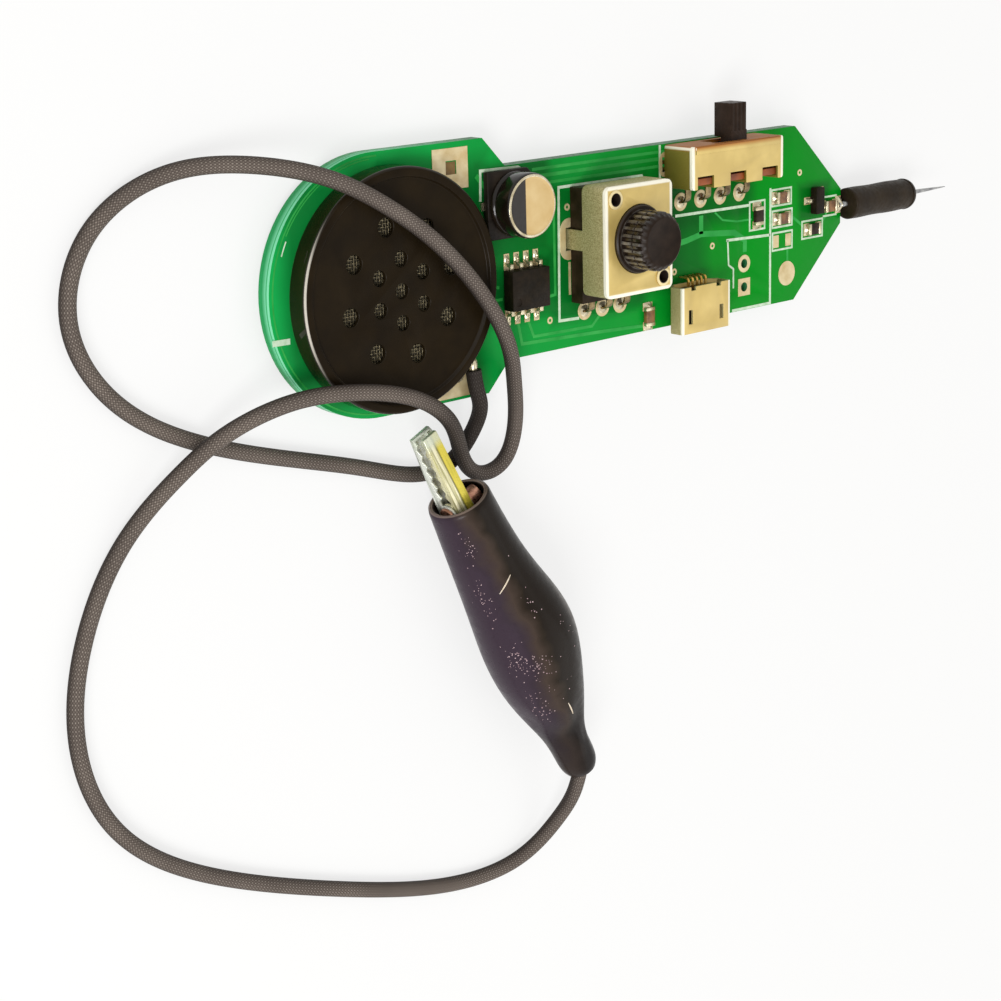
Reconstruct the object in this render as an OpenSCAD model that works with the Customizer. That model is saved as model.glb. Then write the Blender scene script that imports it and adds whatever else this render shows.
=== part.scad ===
// Audio signal detector: a bare circuit board with a speaker, a level control,
// a slide switch, a probe needle and an earth lead that ends in a spring clip.
// Board axes: x runs from the centre of the round end to the probe, y across,
// and z up from the board's top face. The lead and the clip are measured from
// the same centre, with z up from the table.

/* [Board] */
// Thickness of the circuit board
board_t = 1.6; // [1.2:0.1:2.0]
// Radius of the round end, which is half the width of the head
head_r = 12.4; // [12.2:0.1:13]
// Distance from the round end's centre to the shoulders
head_x = 13.3; // [13.2:0.1:13.8]
// Length of each slanted shoulder
shoulder_l = 2.8; // [2.4:0.1:3.2]
// Width of the narrow part of the board
neck_w = 19; // [18.6:0.1:20]
// Distance from the round end's centre to the corners where the tip begins
neck_x = 58.3; // [57.5:0.1:59]
// Distance from the round end's centre to the blunt tip
tip_x = 66.1; // [65.8:0.1:66.3]
// Width of the blunt tip
tip_w = 3.8; // [3:0.1:5]
// Height of the board's underside above the table
stand_h = 1; // [0.9:0.05:1.3]
// Thickness of the tinned lands
land_t = 0.05; // [0.03:0.01:0.08]

/* [Speaker] */
// Radius of the speaker case
speaker_r = 11.5; // [11.2:0.1:11.6]
// Height of the speaker case above the board
speaker_h = 2.4; // [2.3:0.1:2.6]
// Thickness of the speaker's round side wall
speaker_wall = 0.7; // [0.5:0.05:0.9]
// Width of the rim round the sunken front
speaker_rim = 1.1; // [1:0.1:1.4]
// Depth of the sunken front below the rim
speaker_sink = 0.4; // [0.3:0.05:0.5]
// Thickness of the front with the sound holes
grille_t = 0.5; // [0.4:0.05:0.6]
// Number of sound holes in the outer ring
outer_holes = 8; // [6:1:9]
// Radius of the circle that the outer holes lie on
outer_ring_r = 6.3; // [6:0.1:6.8]
// Diameter of an outer sound hole
outer_hole_d = 1.8; // [1.4:0.1:2.2]
// Number of sound holes in the inner ring
inner_holes = 6; // [4:1:6]
// Radius of the circle that the inner holes lie on
inner_ring_r = 3; // [2.8:0.1:3.2]
// Diameter of an inner sound hole
inner_hole_d = 1.5; // [1:0.1:1.7]
// Radius of the magnet
magnet_r = 4.2; // [3.8:0.1:4.4]
// Height of the magnet
magnet_h = 0.5; // [0.4:0.05:0.55]
// Distance between the speaker's two pins
speaker_pitch = 10; // [8:0.5:12]

/* [Level control] */
// Size of the metal cover along the board
pot_w = 9.3; // [9:0.1:9.6]
// Size of the metal cover across the board
pot_d = 11; // [10.8:0.1:11.4]
// Height of the cover's top above the board
pot_h = 5.4; // [5.2:0.1:5.8]
// Height of the cover's side wall
pot_wall_h = 3.3; // [3:0.1:3.6]
// Thickness of the sheet that covers and shells are folded from
sheet_t = 0.3; // [0.25:0.05:0.35]
// Radius of the knurled shaft over its ridges
shaft_r = 2.95; // [2.8:0.05:3.05]
// Height of the shaft above the cover
shaft_up = 3.4; // [2.8:0.1:4]
// Number of ridges round the shaft
shaft_ridges = 24; // [18:2:30]
// Radius of the collar under the knurling
collar_r = 3.4; // [3.3:0.05:3.5]
// Distance between neighbouring pins of the level control
pot_pitch = 2.5; // [2.4:0.05:2.6]
// Distance from the front of the cover to the row of pins
pot_pin_out = 2; // [1.9:0.1:2.4]
// Radius of a tubular rivet
rivet_r = 0.7; // [0.6:0.05:0.75]

/* [Slide switch] */
// Length of the switch shell
switch_l = 13.8; // [13.4:0.1:14.2]
// Depth of the switch shell from the board's edge inwards
switch_d = 4.4; // [4.2:0.1:4.6]
// Height of the switch shell
switch_h = 4; // [3.8:0.1:4.3]
// Width of the switch knob
knob_w = 2.4; // [2.2:0.1:2.8]
// Height of the switch knob
knob_h = 2.4; // [2:0.1:2.5]
// How far the knob stands out past the board's edge
knob_out = 3.7; // [3.2:0.1:4.2]
// Travel of the switch slider
switch_travel = 2; // [1.6:0.1:2.4]
// Distance between neighbouring switch pins
switch_pitch = 3; // [2.8:0.1:3.1]

/* [Charging socket] */
// Width of the socket shell
usb_w = 7.2; // [7:0.1:7.5]
// Depth of the socket shell
usb_d = 4.9; // [4.8:0.1:5.3]
// Height of the socket shell
usb_h = 2.6; // [2.5:0.05:2.8]

/* [Small parts] */
// Diameter of the electrolytic capacitor's can
can_d = 6.3; // [6:0.1:6.4]
// Height of the electrolytic capacitor above the board
can_h = 3.6; // [3.4:0.1:4.2]
// Length of the amplifier chip's body
amp_l = 4.9; // [4.8:0.05:5]
// Width of the amplifier chip's body
amp_w = 3.9; // [3.8:0.05:4]
// Height of the amplifier chip
amp_h = 1.5; // [1.35:0.05:1.75]
// Length of a chip resistor or chip capacitor
chip_l = 2; // [1.8:0.05:2.1]
// Width of a chip resistor or chip capacitor
chip_w = 1.25; // [1.1:0.05:1.3]
// Height of a chip resistor or chip capacitor
chip_h = 0.5; // [0.4:0.05:0.7]
// Radius of a round soldered pin
pin_r = 0.3; // [0.25:0.05:0.35]
// Distance between the two battery holes
battery_pitch = 2.54; // [2.3:0.02:2.6]
// Diameter of a battery hole
battery_hole_d = 1; // [0.8:0.1:1.1]

/* [Probe] */
// Radius of the rubber sleeve
sleeve_r = 1.75; // [1.6:0.05:1.9]
// Length of the rubber sleeve
sleeve_l = 11; // [10.5:0.1:11.5]
// Length of the needle that shows past the sleeve
needle_out = 6.9; // [6.3:0.1:7.4]
// Radius of the needle's shank
needle_r = 0.3; // [0.25:0.05:0.4]

/* [Earth lead and clip] */
// Diameter of the lead
lead_d = 1.55; // [1.4:0.05:1.6]
// Length of the clip's boot
boot_l = 36.1; // [35.9:0.1:36.2]
// Radius of the boot at its mouth
boot_mouth_r = 3.15; // [3.1:0.05:3.3]
// Radius of the boot at its belly
boot_belly_r = 4.9; // [4.8:0.1:5.1]
// Radius of the boot at its tail
boot_tail_r = 2.1; // [1.9:0.1:2.3]
// Thickness of the boot's wall
boot_wall = 0.6; // [0.5:0.05:0.6]
// How far the jaws stand out of the boot
jaw_out = 8; // [7:0.1:8.4]
// Outside width of the lower jaw
jaw_w = 2.4; // [2.3:0.1:2.6]
// Thickness of the sheet that the jaws are folded from
jaw_t = 0.25; // [0.2:0.05:0.3]
// Radius of the clip's pivot pin
pivot_r = 0.6; // [0.5:0.05:0.7]
// Number of teeth along each jaw
jaw_teeth = 5; // [3:1:6]

/* [Hidden] */
$fn = 64;
// Play that keeps neighbouring pieces of one assembly just apart
fit_gap = 0.05;
// Play round a turning or sliding piece
run_gap = 0.06;
// Extra length that lets a cutting shape pass through a face
cut = 1;

needle_x = tip_x + 0.4 + sleeve_l + needle_out;
knob_y = neck_w / 2 + knob_out;
mid_x = (needle_x - head_r) / 2;
mid_y = (knob_y - head_r) / 2;
top_z = stand_h + board_t;
pin_z = -top_z;

speaker_xy = [1.3, -0.4];
pot_xy = [28.9, 1.4];
switch_x = 44.9;
switch_y = neck_w / 2 - 0.1 - switch_d / 2;
usb_x = 41.5;
usb_y = -neck_w / 2 - 0.6 + usb_d / 2;
can_xy = [16.4, 5.9];
amp_xy = [17.9, -2.55];
transistor_xy = [61.5, 1.15];
battery_xy = [50.2, -5.7];
test_xy = [57.1, -6.4];
probe_y = 0.2;
// The needle lies on a thin bed of solder
probe_z = land_t + 0.06 + needle_r;
probe_joint_x = tip_x - 0.5;

speaker_hole_z = speaker_h - speaker_sink - grille_t;
speaker_base_t = 0.3;
yoke_t = 0.2;
magnet_z = speaker_base_t + yoke_t;
coil_gap = 0.25;
cone_z = speaker_hole_z - 0.2;
speaker_pins_xy = [for (s = [-1, 1]) speaker_xy + [s * speaker_pitch / 2, 0]];

pot_in_w = pot_w - 2 * sheet_t;
pot_in_d = pot_d - 2 * sheet_t;
pot_top_in = pot_h - sheet_t;
pot_floor_z = 1.4;
pot_chamber_r = 3.9;
pot_tongue = 0.9;
pot_tongue_h = 1.6;
pot_slot = 0.6;
track_t = 0.15;
rotor_z = pot_floor_z + track_t + 0.65;
pot_lug_w = 2;
pot_rivet_at = [pot_w / 2 - 1.35, pot_d / 2 - 1.3];
pot_rivets_xy = [[-pot_rivet_at[0], pot_rivet_at[1]], [pot_rivet_at[0], -pot_rivet_at[1]]];
pot_pin_y = -pot_d / 2 - pot_pin_out;
pot_pins_xy = [for (i = [-1 : 1]) pot_xy + [i * pot_pitch, pot_pin_y]];
pot_lugs_xy = [for (s = [-1, 1]) pot_xy + [s * (pot_w - sheet_t) / 2, 0]];

switch_floor = 1.3;
slider_x = switch_x + switch_travel / 2;
slider_z = switch_floor + 0.35;
slider_h = switch_h - sheet_t - run_gap - slider_z;
slider_l = 5.2;
knob_z = 0.75;
stem_h = 1.5;
switch_pin_y = switch_y - switch_d / 2 - 1.7;
switch_pins_xy = [for (i = [-1.5 : 1 : 1.5]) [switch_x + i * switch_pitch, switch_pin_y]];
switch_lug_w = 1.2;
switch_lugs_xy = [for (s = [-1, 1]) [switch_x + s * (switch_l - sheet_t) / 2, switch_y + 0.2]];
notch_w = 2.4;
notch_d = 1.3;

// A bent pin's strip: width, thickness, height above the board and inside bend
strip_w = 0.8;
strip_t = 0.2;
strip_z = 0.97;
strip_bend = 0.6;

round_pins = concat(speaker_pins_xy, pot_pins_xy, switch_pins_xy);
hole_r = pin_r + 0.12;
lug_hole = [0.6, 0.3];
battery_holes = [for (s = [1, -1]) battery_xy + [0, s * battery_pitch / 2]];

// Each chip: centre x, centre y, turn in degrees
resistors = [[52.2, 0.5, 90], [61.3, -2, 0]];
capacitors = [[56, 2.05, 0], [56.2, -0.25, 0], [35.4, -8, 90], [tip_x - 2, 0.2, 0]];
chips = concat(resistors, capacitors);
// A chip's place that is left empty
spare_chip = [56.3, -2.7, 0];
chip_end = 0.4;

// Earth pads at the speaker: places and sizes
top_pad_xy = [9.2, 9.9];
top_pad_size = [4.4, 3.9];
top_pad_window = 1.3;
lower_pad_xy = [9, -10];
lower_pad_size = [5.2, 4.2];
square_land = 1.9;
pot_lug_land = [2.5, 4.2];
switch_lug_land = [1.8, 2.6];
lead_pad_xy = [10.5, -9.5];
clip_xy = [6.9, -21.25];
clip_turn = 115.8;
clip_z = boot_belly_r;
pivot_x = -1;
// Height of the folded sides along the clip's handles
handle_side = 0.9;
// Height of each jaw's back above the clip's axis, at the boot's mouth and at the nose
jaw_root = 1.5;
jaw_nose = 0.9;
// How far the jaws sit beside the clip's axis, to the left of the mouth
jaw_side_y = 0.5;
// Length of the bush on the pin's far end
pivot_bush = 1.5;
lead_r = lead_d / 2;
boot_tail_xy = clip_xy - boot_l * [cos(clip_turn), sin(clip_turn)];

// The lead's route from its pad to the boot's tail: x and y in board axes, z from the table
lead_route = [
    [10.5, -9.5, 3.6], [10.7, -11.5, 3.7], [11.6, -13.2, 3.5], [12.2, -15.8, 1.7],
    [9.7, -19.6, lead_r], [4.6, -19.6, lead_r], [-1.5, -17.3, lead_r], [-9, -15.2, lead_r],
    [-19, -12.2, lead_r], [-28, -7.5, lead_r], [-33, 0.6, lead_r], [-30, 9, lead_r],
    [-22, 12.9, lead_r], [-14.5, 12.9, 1.6], [-8.6, 11.7, 6], [-3, 9, 6.1],
    [4, 4.6, 5.95], [9.6, -1, 6], [13.1, -6.8, 6.3], [15.9, -11.4, 3.4],
    [17.3, -15.9, 2.2], [16, -20.3, 2], [11.8, -20.9, 1.9], [8.9, -17.9, 3],
    [6.4, -13.3, 5.6], [0.6, -9.6, 6.6], [-7, -8.2, 6.1], [-13, -8.2, 5.4],
    [-18.5, -10.4, 3.4], [-22.5, -13.2, 2.6], [-28.4, -18.6, lead_r], [-33, -26.5, lead_r],
    [-35, -35.8, lead_r], [-32, -45.8, lead_r], [-22.5, -53, lead_r], [-6.4, -59.5, lead_r],
    [7, -64, lead_r], [17.4, -64.5, lead_r], [22, -60.3, 2],
    [boot_tail_xy[0] - 0.4, boot_tail_xy[1] - 3, clip_z - 0.5], [boot_tail_xy[0], boot_tail_xy[1], clip_z]
];
lead_sides = 8;
lead_steps = 2;

// Places a piece that is drawn in board axes
module on_board(at = [0, 0, 0]) {
    translate([at[0] - mid_x, at[1] - mid_y, at[2] + top_z]) children();
}

// Places a piece of the clip: x towards the jaw tips, z up from the clip's axis
module on_clip() {
    translate([clip_xy[0] - mid_x, clip_xy[1] - mid_y, clip_z]) rotate([0, 0, clip_turn]) children();
}

// A box centred in x and y that stands on z = 0
module block(size) {
    translate([-size[0] / 2, -size[1] / 2, 0]) cube(size);
}

// A plate with round corners that stands on z = 0
module round_plate(size, r) {
    linear_extrude(size[2]) round_outline([size[0], size[1]], r);
}

// A rectangle with round corners, centred
module round_outline(size, r) {
    square([size[0] - 2 * r, size[1]], center = true);
    square([size[0], size[1] - 2 * r], center = true);
    for (x = [-1, 1], y = [-1, 1])
        translate([x * (size[0] / 2 - r), y * (size[1] / 2 - r)]) circle(r);
}

// A side profile in x and z, drawn out to a width across y
module across(width) {
    rotate([90, 0, 0]) linear_extrude(width, center = true) children();
}

// A strip that runs level, bends down round a quarter circle and drops
module bent_strip(run, bend, drop, width, t) {
    across(width) {
        translate([0, -t]) square([run, t]);
        translate([run, -bend - t]) intersection() {
            difference() {
                circle(bend + t);
                circle(bend);
            }
            square(bend + t);
        }
        translate([run + bend, -bend - t - drop]) square([t, drop]);
    }
}

// A gull-wing lead of a surface-mounted part: out, down and out again
module gull_lead(reach, rise, width, t) {
    shoulder = reach * 0.35;
    across(width) polygon([
        [0, rise], [0, rise + t], [shoulder + t, rise + t], [shoulder + t + 0.1, t],
        [reach, t], [reach, 0], [shoulder, 0], [shoulder - 0.1, rise]
    ]);
}

module board_outline() {
    circle(head_r, $fn = 128);
    polygon([
        [0, head_r], [head_x, head_r], [head_x + shoulder_l, neck_w / 2], [neck_x, neck_w / 2],
        [tip_x, tip_w / 2], [tip_x, -tip_w / 2], [neck_x, -neck_w / 2],
        [head_x + shoulder_l, -neck_w / 2], [head_x, -head_r], [0, -head_r]
    ]);
}

module board() {
    color("green") on_board([0, 0, -board_t]) difference() {
        linear_extrude(board_t) board_outline();
        for (p = round_pins) translate([p[0], p[1], -cut]) cylinder(r = hole_r, h = board_t + 2 * cut);
        for (p = battery_holes)
            translate([p[0], p[1], -cut]) cylinder(d = battery_hole_d, h = board_t + 2 * cut);
        for (p = pot_lugs_xy) translate([p[0], p[1], -cut])
            block([sheet_t + lug_hole[0], pot_lug_w + lug_hole[1], board_t + 2 * cut]);
        for (p = switch_lugs_xy) translate([p[0], p[1], -cut])
            block([sheet_t + lug_hole[0], switch_lug_w + lug_hole[1], board_t + 2 * cut]);
    }
}

// Tinned copper that shows through the green mask
module lands() {
    color("tan") on_board() {
        earth_pad(top_pad_xy, top_pad_size, top_pad_window);
        earth_pad(lower_pad_xy, lower_pad_size, 0);
        translate([battery_holes[0][0], battery_holes[0][1], 0]) ring_land(square_land / 2, battery_hole_d / 2);
        translate([battery_holes[1][0], battery_holes[1][1], 0]) difference() {
            block([square_land, square_land, land_t]);
            translate([0, 0, -cut]) cylinder(d = battery_hole_d, h = land_t + 2 * cut);
        }
        translate([test_xy[0], test_xy[1], 0]) cylinder(r = 1.35, h = land_t);
        for (p = concat(pot_pins_xy, switch_pins_xy)) translate([p[0], p[1], 0]) ring_land(square_land / 2, hole_r);
        for (p = pot_lugs_xy) translate([p[0], p[1], 0]) lug_land(pot_lug_land, pot_lug_w);
        for (p = switch_lugs_xy) translate([p[0], p[1], 0]) lug_land(switch_lug_land, switch_lug_w);
        for (c = concat(chips, [spare_chip])) chip_land(c);
        for (i = [0 : 3], s = [-1, 1])
            translate([amp_xy[0] + (i - 1.5) * 1.27, amp_xy[1] + s * 2.7, 0]) block([0.7, 1.7, land_t]);
        for (p = transistor_feet()) translate([p[0], p[1], 0]) block([1, 0.8, land_t]);
        translate([probe_joint_x, probe_y, 0]) block([0.9, 1.9, land_t]);
    }
}

// An earth pad at the speaker's edge, with a square window where window is above zero
module earth_pad(at, size, window) {
    difference() {
        translate([at[0], at[1], 0]) block([size[0], size[1], land_t]);
        translate([speaker_xy[0], speaker_xy[1], -cut]) cylinder(r = speaker_r + 0.15, h = 3 * cut);
        if (window > 0) translate([at[0] + 0.1, at[1] + 0.1, -cut]) block([window, window, 3 * cut]);
    }
}

module ring_land(r, bore) {
    difference() {
        cylinder(r = r, h = land_t);
        translate([0, 0, -cut]) cylinder(r = bore, h = land_t + 2 * cut);
    }
}

module lug_land(size, lug) {
    difference() {
        round_plate([size[0], size[1], land_t], size[0] / 2 - 0.01);
        translate([0, 0, -cut]) block([sheet_t + lug_hole[0], lug + lug_hole[1], land_t + 2 * cut]);
    }
}

module chip_land(c) {
    translate([c[0], c[1], 0]) rotate([0, 0, c[2]]) for (s = [-1, 1])
        translate([s * chip_l / 2, 0, 0]) block([0.9, chip_w + 0.1, land_t]);
}

module speaker_case() {
    rim_r = speaker_r - speaker_rim;
    in_r = speaker_r - speaker_wall;
    front_z = speaker_h - speaker_sink;
    bevel = 0.25;
    color("black") on_board([speaker_xy[0], speaker_xy[1], 0]) difference() {
        rotate_extrude($fn = 128) polygon([
            [in_r, 0], [speaker_r, 0], [speaker_r, speaker_h - bevel], [speaker_r - bevel, speaker_h],
            [rim_r + 0.2, speaker_h], [rim_r, front_z], [0, front_z], [0, speaker_hole_z],
            [in_r, speaker_hole_z]
        ]);
        sound_hole([0, 0], inner_hole_d);
        for (i = [0 : inner_holes - 1])
            sound_hole(on_circle(inner_ring_r, 30 + i * 360 / inner_holes), inner_hole_d);
        for (i = [0 : outer_holes - 1])
            sound_hole(on_circle(outer_ring_r, 15 + i * 360 / outer_holes), outer_hole_d);
    }
}

module sound_hole(at, d) {
    translate([at[0], at[1], speaker_hole_z - cut]) cylinder(d = d, h = grille_t + 2 * cut, $fn = 32);
}

function on_circle(r, a) = [r * cos(a), r * sin(a)];

module speaker_mesh() {
    mesh_t = 0.08;
    color("dimgray") on_board([speaker_xy[0], speaker_xy[1], speaker_hole_z - mesh_t])
        cylinder(r = outer_ring_r + outer_hole_d / 2 + 0.3, h = mesh_t);
}

// Thin cone with a raised roll round its edge and a dome over the coil
module speaker_cone() {
    film = 0.06;
    edge_r = speaker_r - speaker_wall - fit_gap;
    dome_r = magnet_r + coil_gap + 0.4;
    color("darkslategray") on_board([speaker_xy[0], speaker_xy[1], cone_z]) rotate_extrude() polygon([
        [0, 0.04], [dome_r - 1, 0], [edge_r - 3, 0], [edge_r - 2, -0.12], [edge_r - 1, 0], [edge_r, 0],
        [edge_r, film], [edge_r - 1, film], [edge_r - 2, film - 0.12], [edge_r - 3, film],
        [dome_r - 1, film], [0, film + 0.04]
    ]);
}

module speaker_coil() {
    coil_z = speaker_base_t + yoke_t + 0.2;
    color("chocolate") on_board([speaker_xy[0], speaker_xy[1], coil_z]) difference() {
        cylinder(r = magnet_r + coil_gap + 0.35, h = cone_z - coil_z);
        translate([0, 0, -cut]) cylinder(r = magnet_r + coil_gap, h = 3 * cut);
    }
}

module speaker_magnet() {
    color("silver") on_board([speaker_xy[0], speaker_xy[1], magnet_z]) cylinder(r = magnet_r, h = magnet_h);
}

// Steel cup that closes the magnet's circuit round the coil
module speaker_yoke() {
    cup_r = magnet_r + 2 * coil_gap + 0.35;
    color("gray") on_board([speaker_xy[0], speaker_xy[1], speaker_base_t]) {
        cylinder(r = cup_r + 0.5, h = yoke_t);
        difference() {
            cylinder(r = cup_r + 0.5, h = yoke_t + magnet_h - 0.05);
            translate([0, 0, -cut]) cylinder(r = cup_r, h = 3 * cut);
        }
    }
}

module speaker_base() {
    color("black") on_board([speaker_xy[0], speaker_xy[1], 0])
        cylinder(r = speaker_r - speaker_wall - fit_gap, h = speaker_base_t);
}

module speaker_pins() {
    color("silver") for (p = speaker_pins_xy) on_board([p[0], p[1], pin_z]) cylinder(r = pin_r, h = top_z);
}

// Folded cover with two lugs that go through the board
module pot_cover() {
    color("tan") on_board([pot_xy[0], pot_xy[1], 0]) {
        difference() {
            translate([0, 0, pot_h - pot_wall_h]) round_plate([pot_w, pot_d, pot_wall_h], 0.7);
            translate([0, 0, pot_h - pot_wall_h - cut])
                block([pot_in_w, pot_in_d, pot_wall_h + cut - sheet_t]);
            cylinder(r = collar_r + run_gap, h = pot_h + cut);
            for (p = pot_rivets_xy)
                translate([p[0], p[1], 0]) cylinder(r = rivet_r + 0.02, h = pot_h + cut);
        }
        for (s = [-1, 1]) translate([s * (pot_w - sheet_t) / 2, 0, pin_z + 0.5])
            block([sheet_t, pot_lug_w, pot_h - pot_wall_h - pin_z - 0.5]);
    }
}

// Brown moulded body with the round chamber and a tongue that carries the pins
module pot_base() {
    body_d = pot_in_d - 2 * fit_gap;
    front = pot_d / 2 + pot_tongue;
    tongue_l = front - body_d / 2 + 1;
    color("saddlebrown") on_board([pot_xy[0], pot_xy[1], land_t]) difference() {
        union() {
            block([pot_in_w - 2 * fit_gap, body_d, pot_top_in - land_t]);
            translate([0, tongue_l / 2 - front, 0])
                block([pot_in_w - 2 * fit_gap, tongue_l, pot_tongue_h]);
        }
        translate([0, 0, pot_floor_z - land_t]) cylinder(r = pot_chamber_r, h = pot_h);
        translate([0, 0, 0.6]) cylinder(r = 1.2 + run_gap, h = pot_h);
        for (p = pot_rivets_xy)
            translate([p[0], p[1], -cut]) cylinder(r = rivet_r + 0.02, h = pot_h + 2 * cut);
        for (i = [-1 : 1]) translate([i * pot_pitch, -front, strip_z - land_t - 0.02])
            block([strip_w + 0.02, 2 * pot_slot, strip_t + 0.04]);
    }
}

module pot_track() {
    color("black") on_board([pot_xy[0], pot_xy[1], pot_floor_z]) difference() {
        cylinder(r = pot_chamber_r - 0.2, h = track_t);
        translate([0, 0, -cut]) cylinder(r = 1.6, h = 3 * cut);
    }
}

// A ridged circle: points that step between the ridge and the groove radius
function knurl(n, r, depth) = [
    for (i = [0 : 4 * n - 1]) on_circle(r - (i % 4 < 2 ? 0 : depth), (i + 0.5) * 90 / n)
];

module pot_shaft() {
    knurl_z = pot_h + 0.35;
    end_z = pot_h + shaft_up;
    bevel = 0.5;
    groove = 0.22;
    color([0.15, 0.12, 0.1]) on_board([pot_xy[0], pot_xy[1], 0]) {
        translate([0, 0, land_t + 0.7]) cylinder(r = 1.2, h = rotor_z - land_t - 0.7);
        translate([0, 0, rotor_z]) cylinder(r = pot_chamber_r - 0.2, h = pot_top_in - run_gap - rotor_z);
        translate([0, 0, pot_top_in - run_gap]) cylinder(r = collar_r, h = knurl_z - pot_top_in + run_gap);
        translate([0, 0, knurl_z]) linear_extrude(end_z - knurl_z - bevel)
            polygon(knurl(shaft_ridges, shaft_r, groove));
        translate([0, 0, end_z - bevel])
            cylinder(r1 = shaft_r - groove - fit_gap, r2 = shaft_r - groove - bevel, h = bevel);
    }
}

module pot_wiper() {
    arm_t = 0.15;
    color("gold") on_board([pot_xy[0], pot_xy[1], rotor_z - arm_t]) {
        translate([2.6, 0, 0]) block([2, 0.8, arm_t]);
        translate([3, 0, -0.42]) cylinder(r = 0.3, h = 0.42);
    }
}

module pot_pins() {
    from_y = pot_xy[1] - pot_d / 2 - pot_tongue + pot_slot - fit_gap;
    color("silver") for (p = pot_pins_xy) bent_pin(p, from_y);
}

// A flat pin that leaves its body level, bends down and goes through the board
module bent_pin(at, from_y) {
    run = from_y - at[1] - strip_bend - strip_t / 2;
    on_board([at[0], from_y, strip_z + strip_t]) rotate([0, 0, -90])
        bent_strip(run, strip_bend, strip_z - strip_bend - land_t, strip_w, strip_t);
    on_board([at[0], at[1], pin_z]) cylinder(r = pin_r, h = top_z + land_t);
}

// Tubular rivets: a rolled head and a hollow shank
module pot_rivets() {
    color("tan") on_board([pot_xy[0], pot_xy[1], 0]) for (p = pot_rivets_xy)
        translate([p[0], p[1], land_t]) difference() {
            union() {
                cylinder(r = rivet_r, h = pot_h - land_t);
                translate([0, 0, pot_h - land_t]) cylinder(r = rivet_r + 0.25, h = 0.12);
            }
            translate([0, 0, pot_h - 2]) cylinder(r = rivet_r - 0.12, h = 3);
        }
}

// Folded shell, open below, with a window for the knob's stem and three notches at the back
module switch_shell() {
    window = knob_w + switch_travel + 2 * run_gap + 0.2;
    back = -switch_d / 2;
    color("tan") on_board([switch_x, switch_y, 0]) {
        difference() {
            translate([0, 0, land_t]) round_plate([switch_l, switch_d, switch_h - land_t], 0.3);
            block([switch_l - 2 * sheet_t, switch_d - 2 * sheet_t, switch_h - sheet_t]);
            translate([0, switch_d / 2, knob_z - run_gap]) block([window, 1, knob_h + 2 * run_gap]);
            for (x = [-4.9, 0, 4.9]) translate([x, back, 0.6]) block([notch_w, 2 * notch_d, switch_h]);
            translate([0, back, land_t - cut]) block([switch_l - 2 * sheet_t, 1, cut + switch_floor]);
        }
        translate([0, switch_d / 2 - 0.45, switch_h]) block([switch_l - 1, 0.7, 0.12]);
        for (s = [-1, 1]) translate([s * (switch_l - sheet_t) / 2, 0.2, pin_z + 0.5])
            block([sheet_t, switch_lug_w, land_t - pin_z - 0.5]);
    }
}

// Brown insulating plate with a back bar that shows in the shell's notches
module switch_base() {
    in_l = switch_l - 2 * sheet_t - 2 * fit_gap;
    in_d = switch_d - 2 * sheet_t - 2 * fit_gap;
    bar = 0.7;
    color("saddlebrown") on_board([switch_x, switch_y, 0]) difference() {
        union() {
            translate([0, 0, land_t]) block([in_l, in_d, switch_floor - land_t]);
            translate([0, (bar - in_d) / 2, land_t])
                block([in_l, bar, switch_h - sheet_t - fit_gap - land_t]);
        }
        for (i = [-1.5 : 1 : 1.5])
            translate([i * switch_pitch, -in_d / 2, strip_z - 0.02])
                block([strip_w + 0.02, 2, strip_t + 0.04]);
    }
}

// Slider block, stem and ribbed knob
module switch_slider() {
    in_y = switch_d / 2 - sheet_t - run_gap;
    knob_l = knob_y - neck_w / 2 - 0.2;
    color([0.12, 0.11, 0.09]) on_board([slider_x, switch_y, 0]) {
        translate([0, in_y - 1.2, slider_z]) block([slider_l, 2.3, slider_h]);
        translate([0, switch_d / 2, knob_z + (knob_h - stem_h)]) block([knob_w, 2, stem_h]);
        translate([0, knob_y - switch_y, knob_z]) rotate([90, 0, 0]) linear_extrude(knob_l)
            square_ribbed([knob_w, knob_h]);
    }
}

// Knob outline with shallow ribs along its top
module square_ribbed(size) {
    translate([-size[0] / 2, 0]) square([size[0], size[1] - 0.1]);
    for (i = [-1.5 : 1 : 1.5]) translate([i * size[0] / 4 - 0.15, 0]) square([0.3, size[1]]);
}

module switch_wiper() {
    leaf = 0.2;
    color("gold") on_board([slider_x, switch_y + switch_d / 2 - 1.6, slider_z - leaf])
        block([slider_l - 1.4, 1, leaf]);
}

module switch_pins() {
    from_y = switch_y - switch_d / 2 + 0.9;
    color("silver") for (p = switch_pins_xy) bent_pin(p, from_y);
}

module usb_outline(inset) {
    w = usb_w / 2 - inset;
    slope = 0.9;
    polygon([
        [-w, usb_h - inset], [w, usb_h - inset], [w, slope + inset * 0.5], [w - slope, inset],
        [slope - w, inset], [-w, slope + inset * 0.5]
    ]);
}

// Folded shell with two latch slots and two rear notches in its top
module usb_shell() {
    color("tan") on_board([usb_x, usb_y, land_t]) difference() {
        across(usb_d) usb_outline(0);
        across(usb_d + 2 * cut) usb_outline(sheet_t);
        for (s = [-1, 1]) {
            translate([s * 2.33, -0.7, usb_h - cut]) block([0.6, 1.5, 2 * cut]);
            translate([s * 1.9, usb_d / 2, usb_h - cut]) block([0.7, 0.8, 2 * cut]);
        }
    }
}

// Moulded insert: a block that closes the back and a tongue
module usb_insert() {
    plug_l = 1;
    color([0.1, 0.1, 0.1]) on_board([usb_x, usb_y, land_t]) difference() {
        union() {
            translate([0, (usb_d - plug_l) / 2 - 0.4, 0]) across(plug_l) usb_outline(sheet_t + fit_gap);
            translate([0, -0.4, 1.25]) block([3.7, usb_d - 1.7, 0.55]);
        }
        for (i = [-2 : 2]) translate([i * 0.65, 0, 1.15]) block([0.29, usb_d + 2, 0.19]);
    }
}

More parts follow.
